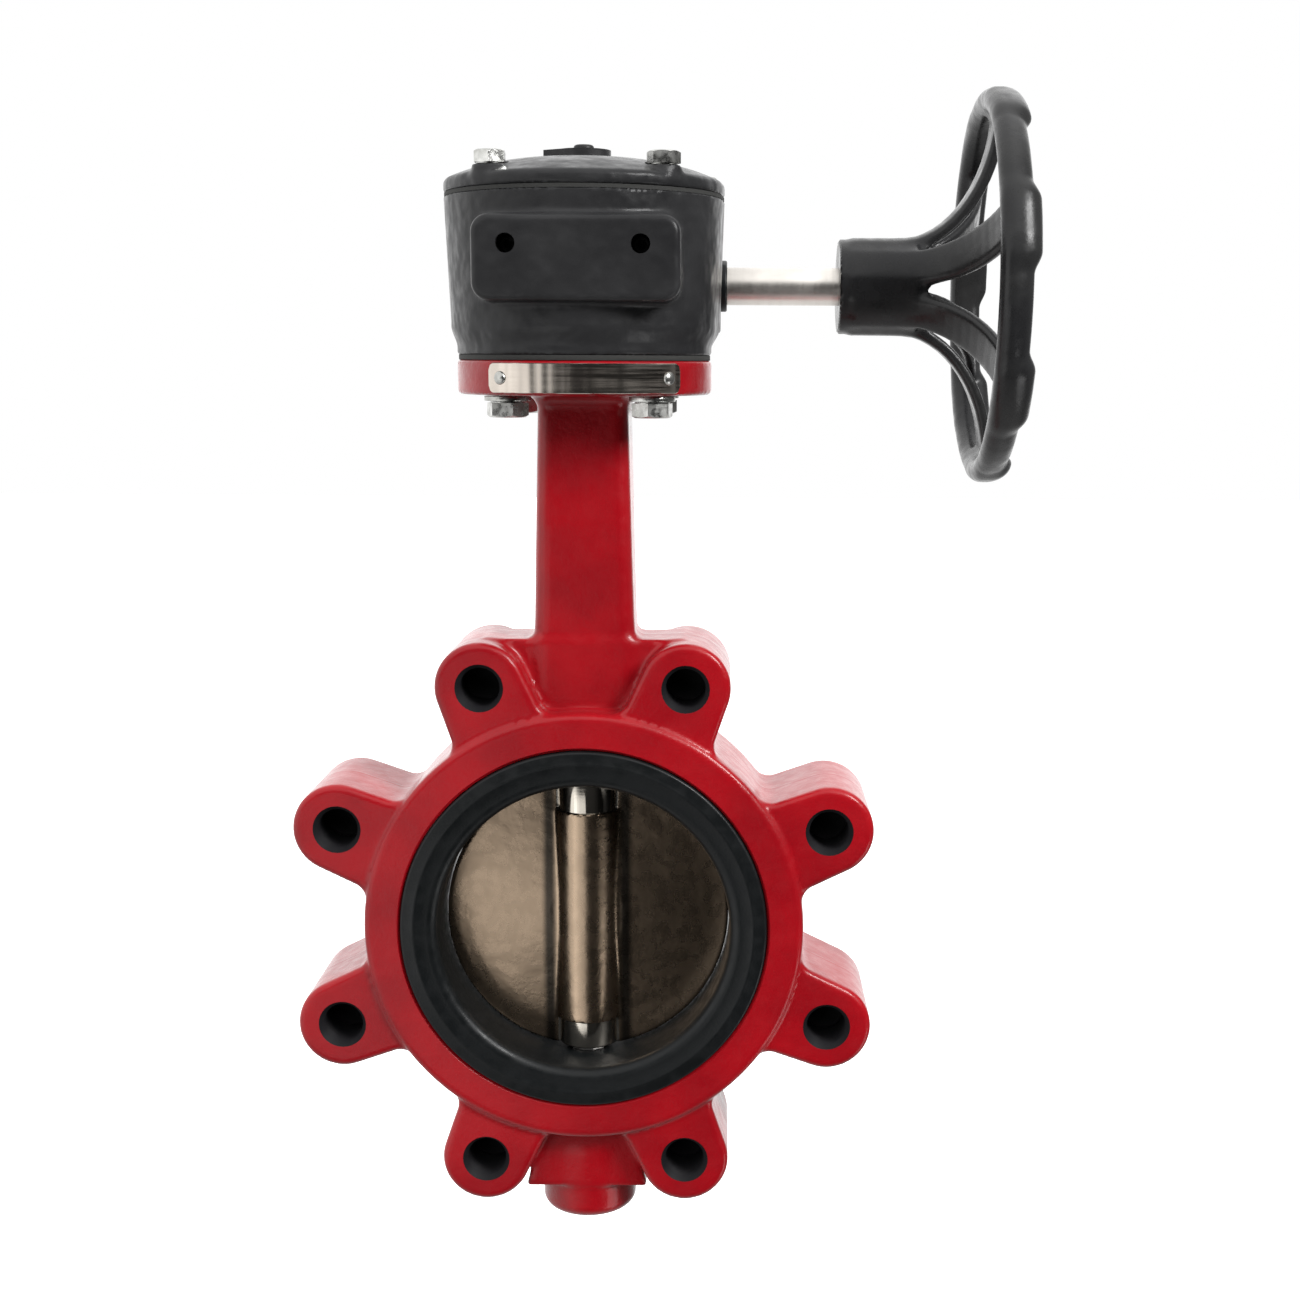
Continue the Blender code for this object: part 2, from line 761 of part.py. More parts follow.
def build_quadrant():
    """The part-circle worm wheel, with a journal below that turns in the housing floor."""
    layers = [quadrant_outline(z) for z in (GEAR_LOW_Z, WORM_Z, GEAR_HIGH_Z)]
    gear = piece("quadrant_gear", loft(layers), "gear_iron")
    hub = lathe(
        [
            (0, 0.2065),
            (JOURNAL_R, 0.2065),
            (JOURNAL_R, FLOOR_Z + 0.0005),
            (GEAR_HUB_R, FLOOR_Z + 0.0005),
            (GEAR_HUB_R, 0.248),
            (0, 0.248),
        ],
        24,
    )
    join(gear, hub, "hub")
    cut(gear, rod(GEAR_BORE_R, 0.2, 0.25, COARSE), "bore")
    keyway = block((0.006, -KEY_HALF - GAP, KEY_LOW_Z - GAP), (0.0106, KEY_HALF + GAP, 0.25))
    cut(gear, keyway, "keyway")

    key = block((0.0053, -KEY_HALF, KEY_LOW_Z), (0.0103, KEY_HALF, KEY_HIGH_Z))
    piece("stem_key", key, "gear_iron")
    bush = tube(JOURNAL_R + GAP, FOOT_BORE_R - GAP, 0.205, 0.218, 24)
    piece("quadrant_bushing", bush, "bronze_bush")


def worm_thread(half_length):
    """The right-hand single-start thread round +X, as a ridge that stands in the worm's core."""
    per_turn = 16
    sunk_r = WORM_HUB_R - 0.0006
    tip_r = WORM_PITCH_R + ADDENDUM
    half_pitch_width = (LEAD / 2 - BACKLASH) / 2
    half_tip = half_pitch_width - ADDENDUM * tan(PRESSURE_ANGLE)
    half_root = half_pitch_width + (WORM_PITCH_R - sunk_r) * tan(PRESSURE_ANGLE)
    across = [(-half_root, sunk_r), (-half_tip, tip_r), (half_tip, tip_r), (half_root, sunk_r)]
    half_stations = int((half_length - half_root) / LEAD * per_turn)
    rings = []
    for station in range(-half_stations, half_stations + 1):
        turn = 2 * pi * station / per_turn
        middle = LEAD * station / per_turn
        rings.append([(middle + x, r * cos(turn), r * sin(turn)) for x, r in across])
    return loft(rings)


def build_worm():
    """The worm, the shaft it is pinned to, and the pin."""
    axis = (0, WORM_Y, WORM_Z)
    half_thread, half_length = 0.0195, 0.026
    core = tube(SHAFT_INNER_R + GAP, WORM_HUB_R, -half_length, half_length, 20)
    worm = piece("worm", moved(core, TO_X), "gear_iron", axis)
    join(worm, worm_thread(half_thread), "thread")
    pin_x, pin_r, pin_half = 0.0215, 0.0015, 0.0084
    pin_hole = moved(rod(pin_r + GAP, -0.012, 0.012, 10), shift(pin_x))
    cut(worm, pin_hole, "pin_hole")
    pin = moved(rod(pin_r, -pin_half, pin_half, 10, 0.0004), shift(pin_x))
    piece("worm_pin", pin, "stainless", axis)

    step_x, shaft_end = 0.0414, 0.112
    outline = [
        (0, -0.0430),
        (SHAFT_INNER_R, -0.0430),
        (SHAFT_INNER_R, step_x),
        (SHAFT_R, step_x),
        (SHAFT_R, shaft_end - 0.001),
        (SHAFT_R - 0.001, shaft_end),
        (0, shaft_end),
    ]
    shaft = piece("input_shaft", moved(lathe(outline, 24), TO_X), "stainless", axis)
    cut(shaft, moved(rod(pin_r + GAP, -0.012, 0.012, 10), shift(pin_x)), "pin_hole")
    roll_hole = moved(rod(ROLL_PIN_R + GAP, -0.012, 0.012, COARSE), shift(ROLL_PIN_X))
    cut(shaft, roll_hole, "roll_pin_hole")


def build_shaft_fittings():
    """Bearings in the two side walls, the cap on the blind side and the seal on the other."""
    axis = shift(0, WORM_Y, WORM_Z)
    left = tube(SHAFT_INNER_R + GAP, BEARING_R, -0.0425, -0.0378, 24)
    right = tube(SHAFT_R + GAP, BEARING_R, 0.0414, 0.0450, 24)
    piece("worm_bearing_left", moved(left, TO_X, axis), "bronze_bush")
    piece("worm_bearing_right", moved(right, TO_X, axis), "bronze_bush")
    cap = moved(rod(BEARING_R, -0.0458, -0.0433, 24, 0.0005), TO_X, axis)
    piece("shaft_end_cap", cap, "black_paint")
    collar_r = 0.0095
    seal = lathe(
        [
            (SHAFT_R + GAP, 0.0453),
            (BEARING_R, 0.0453),
            (BEARING_R, 0.0480),
            (collar_r, 0.0480),
            (collar_r, 0.0503),
            (SHAFT_R + GAP, 0.0503),
        ],
        24,
    )
    piece("shaft_seal", moved(seal, TO_X, axis), "black_rubber")


# ---------------------------------------------------------------------------
# Handwheel
# ---------------------------------------------------------------------------
ROLL_PIN_X = 0.103
ROLL_PIN_R = 0.0025
RIM_HALF_WIDTH = 0.0075
RIM_DEPTH = 0.0095
HORN_START_X = 0.113
GRIP_COUNT = 8
GRIP_RISE = 0.0008
FIRST_WINDOW = radians(-84.5)  # turns the first window, drawn along +X, to just below -Y


def rim():
    """The rim: a soft-cornered band with shallow finger grips round its outside."""
    stations = 48
    across = [(-0.6, 0.0), (0.6, 0.0), (1.0, 0.35), (0.7, 1.0), (-0.7, 1.0), (-1.0, 0.35)]
    bm = bmesh.new()
    rings = []
    for k in range(stations):
        turn = 2 * pi * k / stations
        grip = GRIP_RISE * (0.5 + 0.5 * cos(GRIP_COUNT * turn))
        outer = WHEEL_R - GRIP_RISE + grip
        ring = []
        for side, depth in across:
            radius = outer - RIM_DEPTH * (1 - depth)
            x = WHEEL_X + side * RIM_HALF_WIDTH
            ring.append(bm.verts.new((x, radius * cos(turn), radius * sin(turn))))
        rings.append(ring)
    count = len(across)
    for ring, following in zip(rings, rings[1:] + rings[:1]):
        for i in range(count):
            j = (i + 1) % count
            bm.faces.new((ring[i], ring[j], following[j], following[i]))
    bmesh.ops.recalc_face_normals(bm, faces=bm.faces)
    return bm


def horn():
    """The hub that flares out like a horn until it meets the rim."""
    wall = 0.0042
    reach_x, reach_r = 0.0360, 0.0500
    arc = [radians(a) for a in (0, 22, 44, 66, 88)]
    outer = [(WHEEL_HUB_R + reach_r * (1 - cos(t)), HORN_START_X + reach_x * sin(t)) for t in arc]
    inner_r, inner_start = WHEEL_HUB_R - wall, HORN_START_X + wall
    inner = [
        (inner_r + (reach_r + wall) * (1 - cos(t)), inner_start + reach_x * sin(t))
        for t in reversed(arc[1:])
    ]
    outline = [(0, HUB_START_X), (WHEEL_HUB_R, HUB_START_X)] + outer + inner
    outline += [(0, inner[-1][1])]
    return moved(lathe(outline, 36), TO_X)


def spoke_window(angle):
    """A cutter for the opening between two spokes, narrow at the hub and wide at the rim."""
    spoke_half = 0.0085
    sweep = pi / SPOKE_COUNT
    near_r = spoke_half / sin(sweep) + 0.001
    far_r = 0.0685
    edge_turn = asin(spoke_half / far_r)
    arc_steps = 6
    spread = sweep - edge_turn
    arc = [-spread + 2 * spread * i / arc_steps for i in range(arc_steps + 1)]
    corners = [(near_r, 0.0)] + [(far_r * cos(t), far_r * sin(t)) for t in arc]
    radii = [0.006, 0.006] + [0.0] * (arc_steps - 1) + [0.006]
    outline = []
    for i, corner in enumerate(corners):
        if radii[i] == 0:
            outline.append(corner)
        else:
            outline += soft_corner(corners, i, radii[i])
    window = prism(outline, HORN_START_X, 0.170)
    return moved(window, Matrix.Rotation(angle, 4, "Z"), TO_X)


def soft_corner(corners, i, setback, steps=3):
    """A corner replaced with a curve that starts and ends a setback away from it."""
    here = Vector(corners[i])
    before = here + (Vector(corners[i - 1]) - here).normalized() * setback
    after = here + (Vector(corners[(i + 1) % len(corners)]) - here).normalized() * setback
    points = []
    for step in range(steps + 1):
        t = step / steps
        points.append(tuple(before * (1 - t) ** 2 + here * 2 * t * (1 - t) + after * t * t))
    return points


def build_handwheel():
    axis = (0, WORM_Y, WORM_Z)
    wheel = piece("handwheel", horn(), "black_enamel", axis)
    windows = []
    for i in range(SPOKE_COUNT):
        windows.append(spoke_window(FIRST_WINDOW + 2 * pi * i / SPOKE_COUNT))
    cut(wheel, together(*windows), "windows")
    join(wheel, rim(), "rim")
    cut(wheel, moved(rod(SHAFT_R + GAP, 0.08, 0.13, 24), TO_X), "bore")
    roll_hole = moved(rod(ROLL_PIN_R + GAP, -0.02, 0.02, COARSE), shift(ROLL_PIN_X))
    cut(wheel, roll_hole, "roll_pin_hole")
    roll_pin = moved(rod(ROLL_PIN_R, -0.0168, 0.0168, 12, 0.0006), shift(ROLL_PIN_X))
    piece("handwheel_roll_pin", roll_pin, "stainless", axis)


# ---------------------------------------------------------------------------
# Fasteners and trim
# ---------------------------------------------------------------------------
SHANK_CHAMFER = 0.0006
WASHER_THICKNESS = 0.0016


def build_bolt(name, across_flats, head, shank_r, length, transform):
    """A hex bolt, drawn standing on its head: the head ends at z = 0 and the shank rises."""
    hexagon = rod(across_flats / sqrt(3), -head, 0.0, 6)
    shank = rod(shank_r, -head / 2, length, COARSE, SHANK_CHAMFER)
    bolt = piece(name, moved(hexagon, transform), "zinc")
    join(bolt, moved(shank, transform), "shank")


def build_fasteners():
    washer_high = NECK_TOP_Z - GAP
    washer_low = washer_high - WASHER_THICKNESS
    for i, (x, y) in enumerate(MOUNT_PLACES, 1):
        washer = moved(tube(0.0042, 0.008, washer_low, washer_high, COARSE), shift(x, y))
        piece(f"mounting_washer_{i}", washer, "zinc")
        place = shift(x, y, washer_low - GAP)
        build_bolt(f"mounting_bolt_{i}", 0.013, 0.0053, 0.0039, 0.0278, place)

    upside_down = Matrix.Rotation(pi, 4, "X")
    for i, (x, y) in enumerate(COVER_BOLT_PLACES, 1):
        place = shift(x, y, COVER_BOSS_Z + GAP) @ upside_down
        build_bolt(f"cover_bolt_{i}", 0.010, 0.0045, COVER_SCREW_R, 0.0185, place)

    for name, x in (("stop_screw_open", -STOP_X), ("stop_screw_closed", STOP_X)):
        tip = STOP_FACE_Y - GAP
        screw = rod(COVER_SCREW_R, -0.0425, tip, COARSE, SHANK_CHAMFER)
        set_screw = piece(name, moved(screw, TO_Y, shift(x, 0, STOP_Z)), "black_paint")
        socket = moved(rod(0.0017, -0.044, -0.0385, 6), TO_Y, shift(x, 0, STOP_Z))
        cut(set_screw, socket, "socket")


def build_name_tag():
    """A blank metal tag bent round the front of the top flange, held by two rivets."""
    inner, outer = TOP_FLANGE_R + GAP, TOP_FLANGE_R + 0.0012
    low, high = 0.1915, 0.2015
    steps = 24
    turns = [TAG_MID - TAG_HALF_SWEEP + 2 * TAG_HALF_SWEEP * i / steps for i in range(steps + 1)]
    outline = [polar(outer, t) for t in turns] + [polar(inner, t) for t in reversed(turns)]
    tag = piece("name_tag", prism(outline, low, high), "tag_metal")
    holes = [radial(rod(RIVET_HOLE_R, 0.042, 0.050, 8), a) for _, a in rivet_places()]
    cut(tag, together(*holes), "rivet_holes")

    for side, angle in rivet_places():
        head_base = outer + GAP
        outline = [
            (0, 0.0392),
            (RIVET_R, 0.0392),
            (RIVET_R, head_base),
            (0.0023, head_base),
            (0.0018, head_base + 0.0009),
            (0, head_base + 0.0009),
        ]
        piece(f"name_tag_rivet_{side}", radial(lathe(outline, COARSE), angle), "zinc")


def build_indicator():
    """The pointer over the stem that shows which way the disc lies, and its screw."""
    cap_low, cap_high = COVER_CROWN_Z + 0.0003, COVER_CROWN_Z + 0.0023
    tip_x = -0.014
    spread = [radians(220 + 280 * i / 12) for i in range(13)]
    outline = [polar(0.0095, t) for t in spread] + [(tip_x, 0.0015), (tip_x, -0.0015)]
    pointer = piece("position_indicator", prism(outline, cap_low, cap_high), "black_paint")
    spigot = rod(INDICATOR_R, STEM_TOP_Z + GAP, cap_low + 0.001, 24)
    join(pointer, spigot, "spigot")
    cut(pointer, rod(0.0023, 0.26, 0.28, 8), "screw_hole")
    screw = lathe(
        [
            (0, 0.2505),
            (0.002, 0.2505),
            (0.002, cap_high + GAP),
            (0.0036, cap_high + GAP),
            (0.0030, cap_high + 0.0018),
            (0, cap_high + 0.0018),
        ],
        12,
    )
    piece("indicator_screw", screw, "black_paint")


def main():
    for leftover in list(bpy.data.objects):
        bpy.data.objects.remove(leftover)
    build_body()
    build_stem_fittings()
    build_liner()
    build_disc()
    build_stems()
    build_gaskets()
    build_housing()
    build_quadrant()
    build_worm()
    build_shaft_fittings()
    build_cover()
    build_indicator()
    build_fasteners()
    build_name_tag()
    build_handwheel()


main()
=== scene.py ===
"""The looks of the lug butterfly valve: smooth castings, turned parts, materials and studio.

Castings are surfaces drawn from distance fields, so that every joint has its cast fillet, and are
then machined with cutters. Everything is in metres, in the frame of the CAD model.
"""

import json
from math import cos, pi, radians, sin, sqrt, tan

import bmesh
import bpy
import numpy as np
from mathutils import Matrix, Vector


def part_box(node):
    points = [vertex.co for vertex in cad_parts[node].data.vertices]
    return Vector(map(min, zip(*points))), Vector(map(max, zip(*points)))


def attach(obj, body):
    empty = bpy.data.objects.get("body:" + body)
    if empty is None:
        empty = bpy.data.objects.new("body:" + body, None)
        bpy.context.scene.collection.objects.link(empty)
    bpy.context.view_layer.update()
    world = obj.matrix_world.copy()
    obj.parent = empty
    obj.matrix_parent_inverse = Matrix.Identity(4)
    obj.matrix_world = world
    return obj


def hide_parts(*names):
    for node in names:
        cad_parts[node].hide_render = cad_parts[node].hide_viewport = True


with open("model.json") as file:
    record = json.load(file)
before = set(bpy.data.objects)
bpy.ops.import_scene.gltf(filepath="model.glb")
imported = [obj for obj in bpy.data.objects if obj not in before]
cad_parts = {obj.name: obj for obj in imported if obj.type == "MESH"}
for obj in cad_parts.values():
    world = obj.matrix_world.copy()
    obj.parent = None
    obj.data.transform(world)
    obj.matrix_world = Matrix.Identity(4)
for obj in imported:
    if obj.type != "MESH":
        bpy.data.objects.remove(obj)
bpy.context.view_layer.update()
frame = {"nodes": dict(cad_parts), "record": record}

# --- Places that the frame gives ---
joints = {joint["name"]: joint for joint in frame["record"]["behaviour"]["joints"]}
WHEEL_AXIS = Vector(joints["handwheel_spin"]["pos_m"])
BODY_LOW, BODY_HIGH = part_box("valve_body")
_, LINER_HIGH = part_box("seat_liner")
DISC_LOW, DISC_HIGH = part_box("disc")
HOUSING_LOW, HOUSING_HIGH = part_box("gearbox_housing")
COVER_LOW, COVER_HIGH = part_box("gearbox_cover")
WHEEL_LOW, WHEEL_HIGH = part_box("handwheel")
PLATE_LOW, PLATE_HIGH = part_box("name_tag")

VALVE = "valve"
DISC_BODY = "disc_and_stem"
WHEEL_BODY = "handwheel_and_worm"

# --- Sizes ---
RING_R = 0.079
RING_HALF = 0.026
BORE_R = 0.0525
LINER_BACK_R = 0.0607
LINER_LIP_R = LINER_HIGH.x
LIP_INNER_Y = 0.0221
LUG_COUNT = 8
BOLT_CIRCLE_R = 0.09525
LUG_R = 0.016
LUG_HALF = 0.024
THREAD_R = 0.0079
THREAD_PITCH = 0.00231
THREAD_DEPTH = 0.0008
HOLE_DEPTH = 0.021
FLANGE_R = BODY_HIGH.y
FLANGE_LOW = 0.1905
FLANGE_HIGH = BODY_HIGH.z
BOSS_R = 0.0175
STEM_R = 0.008
GAP = 0.0003
MOUNT_CIRCLE_R = 0.035
BARREL_TOP_Z, BARREL_BOTTOM_Z = 0.0395, -0.0405
GROOVE_SHADE_X = 0.0140  # where shade is painted into the cast corner beside the disc's barrel
TAG_MIDDLE, TAG_SWEEP, RIVET_SWEEP = radians(-86), radians(44.5), radians(38)
RIVET_Z = 0.1965


# --- Distance fields: negative inside, in metres ---
def join(fillet, *fields):
    """The union of the fields, with a concave fillet of that radius where they meet."""
    result = fields[0]
    for field in fields[1:]:
        near = np.hypot(np.maximum(fillet - result, 0), np.maximum(fillet - field, 0))
        result = np.maximum(fillet, np.minimum(result, field)) - near
    return result


def meet(edge, *fields):
    """The part that all the fields share, with a convex edge of that radius where they meet."""
    outside = 0.0
    inside = -1.0
    for field in fields:
        outside = outside + np.maximum(field + edge, 0) ** 2
        inside = np.maximum(inside, field + edge)
    return np.sqrt(outside) + np.minimum(inside, 0) - edge


def rectangle(u, v, half_u, half_v, corner):
    """A rounded rectangle round the origin."""
    return meet(corner, np.abs(u) - half_u, np.abs(v) - half_v)


def teardrop(u, v, start_u, start_r, end_u, end_r):
    """Two circles on the u axis with their common tangents."""
    length = end_u - start_u
    lean = (start_r - end_r) / length
    upright = sqrt(1 - lean * lean)
    along, across = u - start_u, np.abs(v)
    place = along * upright - across * lean
    flank = across * upright + along * lean - start_r
    near = np.hypot(along, across) - start_r
    far = np.hypot(along - length, across) - end_r
    return np.where(place < 0, near, np.where(place > upright * length, far, flank))


def skin(field, low, high, pitch):
    """Vertices and quads of the surface where a field is zero, by surface nets.

    Each grid cell that the surface crosses gets one vertex. The vertices are evened out among
    their neighbours and drawn on to the surface.
    """
    counts = [int(np.ceil((b - a) / pitch)) + 1 for a, b in zip(low, high)]
    lines = [a + pitch * np.arange(n) for a, n in zip(low, counts)]
    grid = np.meshgrid(*lines, indexing="ij", sparse=True)
    values = np.broadcast_to(field(*grid), counts)
    inside = values < 0

    cell_ids, crossings, flips = [], [], []
    strides = (counts[1] * counts[2], counts[2], 1)
    for axis in range(3):
        first = [slice(None)] * 3
        second = [slice(None)] * 3
        first[axis], second[axis] = slice(None, -1), slice(1, None)
        found = np.argwhere(inside[tuple(first)] != inside[tuple(second)])
        start = values[tuple(first)][tuple(found.T)]
        end = values[tuple(second)][tuple(found.T)]
        point = found.astype(float)
        point[:, axis] += start / (start - end)
        base = found @ np.array(strides)
        u, v = [strides[k] for k in range(3) if k != axis]
        around = np.stack([base, base - u, base - u - v, base - v], axis=1)
        cell_ids.append(around)
        crossings.append(point)
        flips.append((start > 0) != (axis == 1))
    cell_ids = np.concatenate(cell_ids)
    crossings = np.concatenate(crossings)
    flips = np.concatenate(flips)

    _, quads = np.unique(cell_ids, return_inverse=True)
    quads = quads.reshape(cell_ids.shape)
    shares = np.bincount(quads.ravel())
    repeated = np.repeat(crossings, 4, axis=0)
    sums = [np.bincount(quads.ravel(), repeated[:, k]) for k in range(3)]
    points = np.stack(sums, axis=1) / shares[:, None] * pitch + np.array(low)
    quads[flips] = quads[flips][:, ::-1]

    step = pitch * 0.01
    ahead, behind = np.roll(quads, -1, axis=1).ravel(), np.roll(quads, 1, axis=1).ravel()
    for even_out in (0.6, 0.6, 0.4, 0.0):
        sums = [np.bincount(quads.ravel(), points[ahead, k] + points[behind, k]) for k in range(3)]
        points += even_out * (np.stack(sums, axis=1) / (2 * shares[:, None]) - points)
        value = field(*points.T)
        slope = np.empty_like(points)
        for k in range(3):
            beside = points.copy()
            beside[:, k] += step
            slope[:, k] = (field(*beside.T) - value) / step
        size = np.maximum((slope**2).sum(axis=1), 0.05)
        move = -(value / size)[:, None] * slope
        length = np.maximum(np.linalg.norm(move, axis=1), 1e-12)
        move *= np.minimum(1, pitch * 0.6 / length)[:, None]
        points += move
    return points, quads


# --- Meshes ---
TO_X = Matrix.Rotation(pi / 2, 4, "Y")
TO_Y = Matrix.Rotation(-pi / 2, 4, "X")


def add_mesh(name, points, faces, smooth_below=35):
    """An object with that mesh, shaded smooth but for edges sharper than the angle."""
    mesh = bpy.data.meshes.new(name)
    points = np.asarray(points, np.float32)
    if isinstance(faces, np.ndarray):
        mesh.vertices.add(len(points))
        mesh.vertices.foreach_set("co", points.ravel())
        mesh.loops.add(faces.size)
        mesh.loops.foreach_set("vertex_index", faces.ravel().astype(np.int32))
        mesh.polygons.add(len(faces))
        starts = np.arange(len(faces), dtype=np.int32) * faces.shape[1]
        mesh.polygons.foreach_set("loop_start", starts)
        mesh.update(calc_edges=True)
        mesh.validate()
    else:
        mesh.from_pydata([tuple(map(float, p)) for p in points], [], faces)
    return shade(link(name, mesh), smooth_below)


def link(name, data):
    """A new object in the scene that shows the given mesh, lamp or camera."""
    made = bpy.data.objects.new(name, data)
    bpy.context.scene.collection.objects.link(made)
    return made


def shade(made, smooth_below=35):
    made.data.shade_smooth()
    made.data.set_sharp_from_angle(angle=radians(smooth_below))
    return made


def cast(name, field, low, high, pitch, margin=0.002):
    """A casting drawn from its field, in the box from low to high with a margin all round."""
    low, high = [a - margin for a in low], [b + margin for b in high]
    points, quads = skin(field, low, high, pitch)
    return add_mesh(name, points, quads)


def outward(bm):
    bmesh.ops.recalc_face_normals(bm, faces=bm.faces)
    return bm


def arc(centre, radius, start, end, steps=6):
    """Points of an arc between two angles in degrees, in a plane of two coordinates."""
    turns = [radians(start + (end - start) * i / steps) for i in range(steps + 1)]
    return [(centre[0] + radius * cos(t), centre[1] + radius * sin(t)) for t in turns]


def turned(profile, segments=64):
    """Turn a closed (radius, height) outline about +Z. Points on the axis close the ends."""
    bm = bmesh.new()
    rings = []
    for radius, height in profile:
        if radius < 1e-9:
            rings.append([bm.verts.new((0, 0, height))])
            continue
        turns = [2 * pi * i / segments for i in range(segments)]
        rings.append([bm.verts.new((radius * cos(t), radius * sin(t), height)) for t in turns])
    is_solid = profile[0][0] < 1e-9
    following = rings[1:] if is_solid else rings[1:] + rings[:1]
    for lower, upper in zip(rings, following):
        for i in range(segments):
            j = (i + 1) % segments
            corners = [lower[i % len(lower)], lower[j % len(lower)]]
            corners += [upper[j % len(upper)], upper[i % len(upper)]]
            bm.faces.new(list(dict.fromkeys(corners)))
    return outward(bm)


def rod(radius, low, high, segments=48, bevel=0.0):
    if bevel == 0:
        return turned([(0, low), (radius, low), (radius, high), (0, high)], segments)
    inner = radius - bevel
    lower = arc((inner, low + bevel), bevel, -90, 0, 3)
    upper = arc((inner, high - bevel), bevel, 0, 90, 3)
    return turned([(0, low)] + lower + upper + [(0, high)], segments)


def ring_of(inner, outer, low, high, segments=64, bevel=0.0002):
    """A flat ring along +Z with softened edges."""
    profile = arc((inner + bevel, low + bevel), bevel, -180, -90, 2)
    profile += arc((outer - bevel, low + bevel), bevel, -90, 0, 2)
    profile += arc((outer - bevel, high - bevel), bevel, 0, 90, 2)
    profile += arc((inner + bevel, high - bevel), bevel, 90, 180, 2)
    return turned(profile, segments)


def stacked(rings):
    """Join equal rings of points with side faces and close both ends."""
    bm = bmesh.new()
    made = [[bm.verts.new(point) for point in ring] for ring in rings]
    count = len(made[0])
    for lower, upper in zip(made, made[1:]):
        for i in range(count):
            j = (i + 1) % count
            bm.faces.new((lower[i], lower[j], upper[j], upper[i]))
    bm.faces.new(made[0])
    bm.faces.new(made[-1])
    return outward(bm)


def prism(outline, low, high):
    return stacked([[(x, y, z) for x, y in outline] for z in (low, high)])


def moved(bm, *transforms):
    for transform in transforms:
        bmesh.ops.transform(bm, matrix=transform, verts=bm.verts)
    return bm


def shift(x=0.0, y=0.0, z=0.0):
    return Matrix.Translation((x, y, z))


SHAFT_AXIS = shift(0, WHEEL_AXIS.y, WHEEL_AXIS.z)


def together(*meshes):
    bm = bmesh.new()
    for part in meshes:
        carried = bpy.data.meshes.new("carried")
        part.to_mesh(carried)
        part.free()
        bm.from_mesh(carried)
        bpy.data.meshes.remove(carried)
    return bm


def add_object(name, bm, smooth_below=35):
    mesh = bpy.data.meshes.new(name)
    bm.to_mesh(mesh)
    bm.free()
    return shade(link(name, mesh), smooth_below)


def machine(target, bm, operation="DIFFERENCE", smooth_below=35):
    """Cut a shape away from the target, or join it on, and keep the resulting mesh."""
    tool = add_object(f"{target.name}_tool", bm)
    boolean = target.modifiers.new("machining", "BOOLEAN")
    boolean.operation = operation
    boolean.solver = "MANIFOLD"
    boolean.object = tool
    graph = bpy.context.evaluated_depsgraph_get()
    result = bpy.data.meshes.new_from_object(target.evaluated_get(graph))
    target.modifiers.clear()
    before = target.data
    target.data = result
    result.name = target.name
    bpy.data.meshes.remove(before)
    bpy.data.objects.remove(tool)
    return shade(target, smooth_below)


def soften(made, width=0.0003, segments=2, limit=35):
    """Round the sharp edges of a simple shape."""
    bevel = made.modifiers.new("soft_edges", "BEVEL")
    bevel.width = width
    bevel.segments = segments
    bevel.limit_method = "ANGLE"
    bevel.angle_limit = radians(limit)
    bevel.harden_normals = True
    return made


def around(radius, count, first):
    turns = [first + 2 * pi * i / count for i in range(count)]
    return [(radius * cos(t), radius * sin(t)) for t in turns]


def rods_at(places, radius, low, high, segments):
    """Upright rods at a set of places seen from above."""
    return [moved(rod(radius, low, high, segments), shift(x, y)) for x, y in places]


MOUNT_PLACES = around(MOUNT_CIRCLE_R, 4, pi / 4)
LUG_PLACES = around(BOLT_CIRCLE_R, LUG_COUNT, pi / LUG_COUNT)


def stand_for(piece, body, look, slot, *nodes):
    """Dress a piece, and put it in the place of the CAD nodes that it stands for."""
    piece.data.materials.clear()
    piece.data.materials.append(look)
    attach(piece, body)
    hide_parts(*nodes)
    return piece


# --- Materials ---
class Nodes:
    """Short calls for the nodes of a tree."""

    def __init__(self, tree):
        self.tree = tree

    def maths(self, operation, *values):
        node = self.tree.nodes.new("ShaderNodeMath")
        node.operation = operation
        for socket, value in zip(node.inputs, values):
            if isinstance(value, (int, float)):
                socket.default_value = value
            else:
                self.tree.links.new(value, socket)
        return node.outputs["Value"]

    def rescale(self, value, low, high, to_low=0.0, to_high=1.0):
        node = self.tree.nodes.new("ShaderNodeMapRange")
        node.interpolation_type = "SMOOTHSTEP"
        names = ("From Min", "From Max", "To Min", "To Max")
        for name, number in zip(names, (low, high, to_low, to_high)):
            node.inputs[name].default_value = number
        self.tree.links.new(value, node.inputs["Value"])
        return node.outputs["Result"]


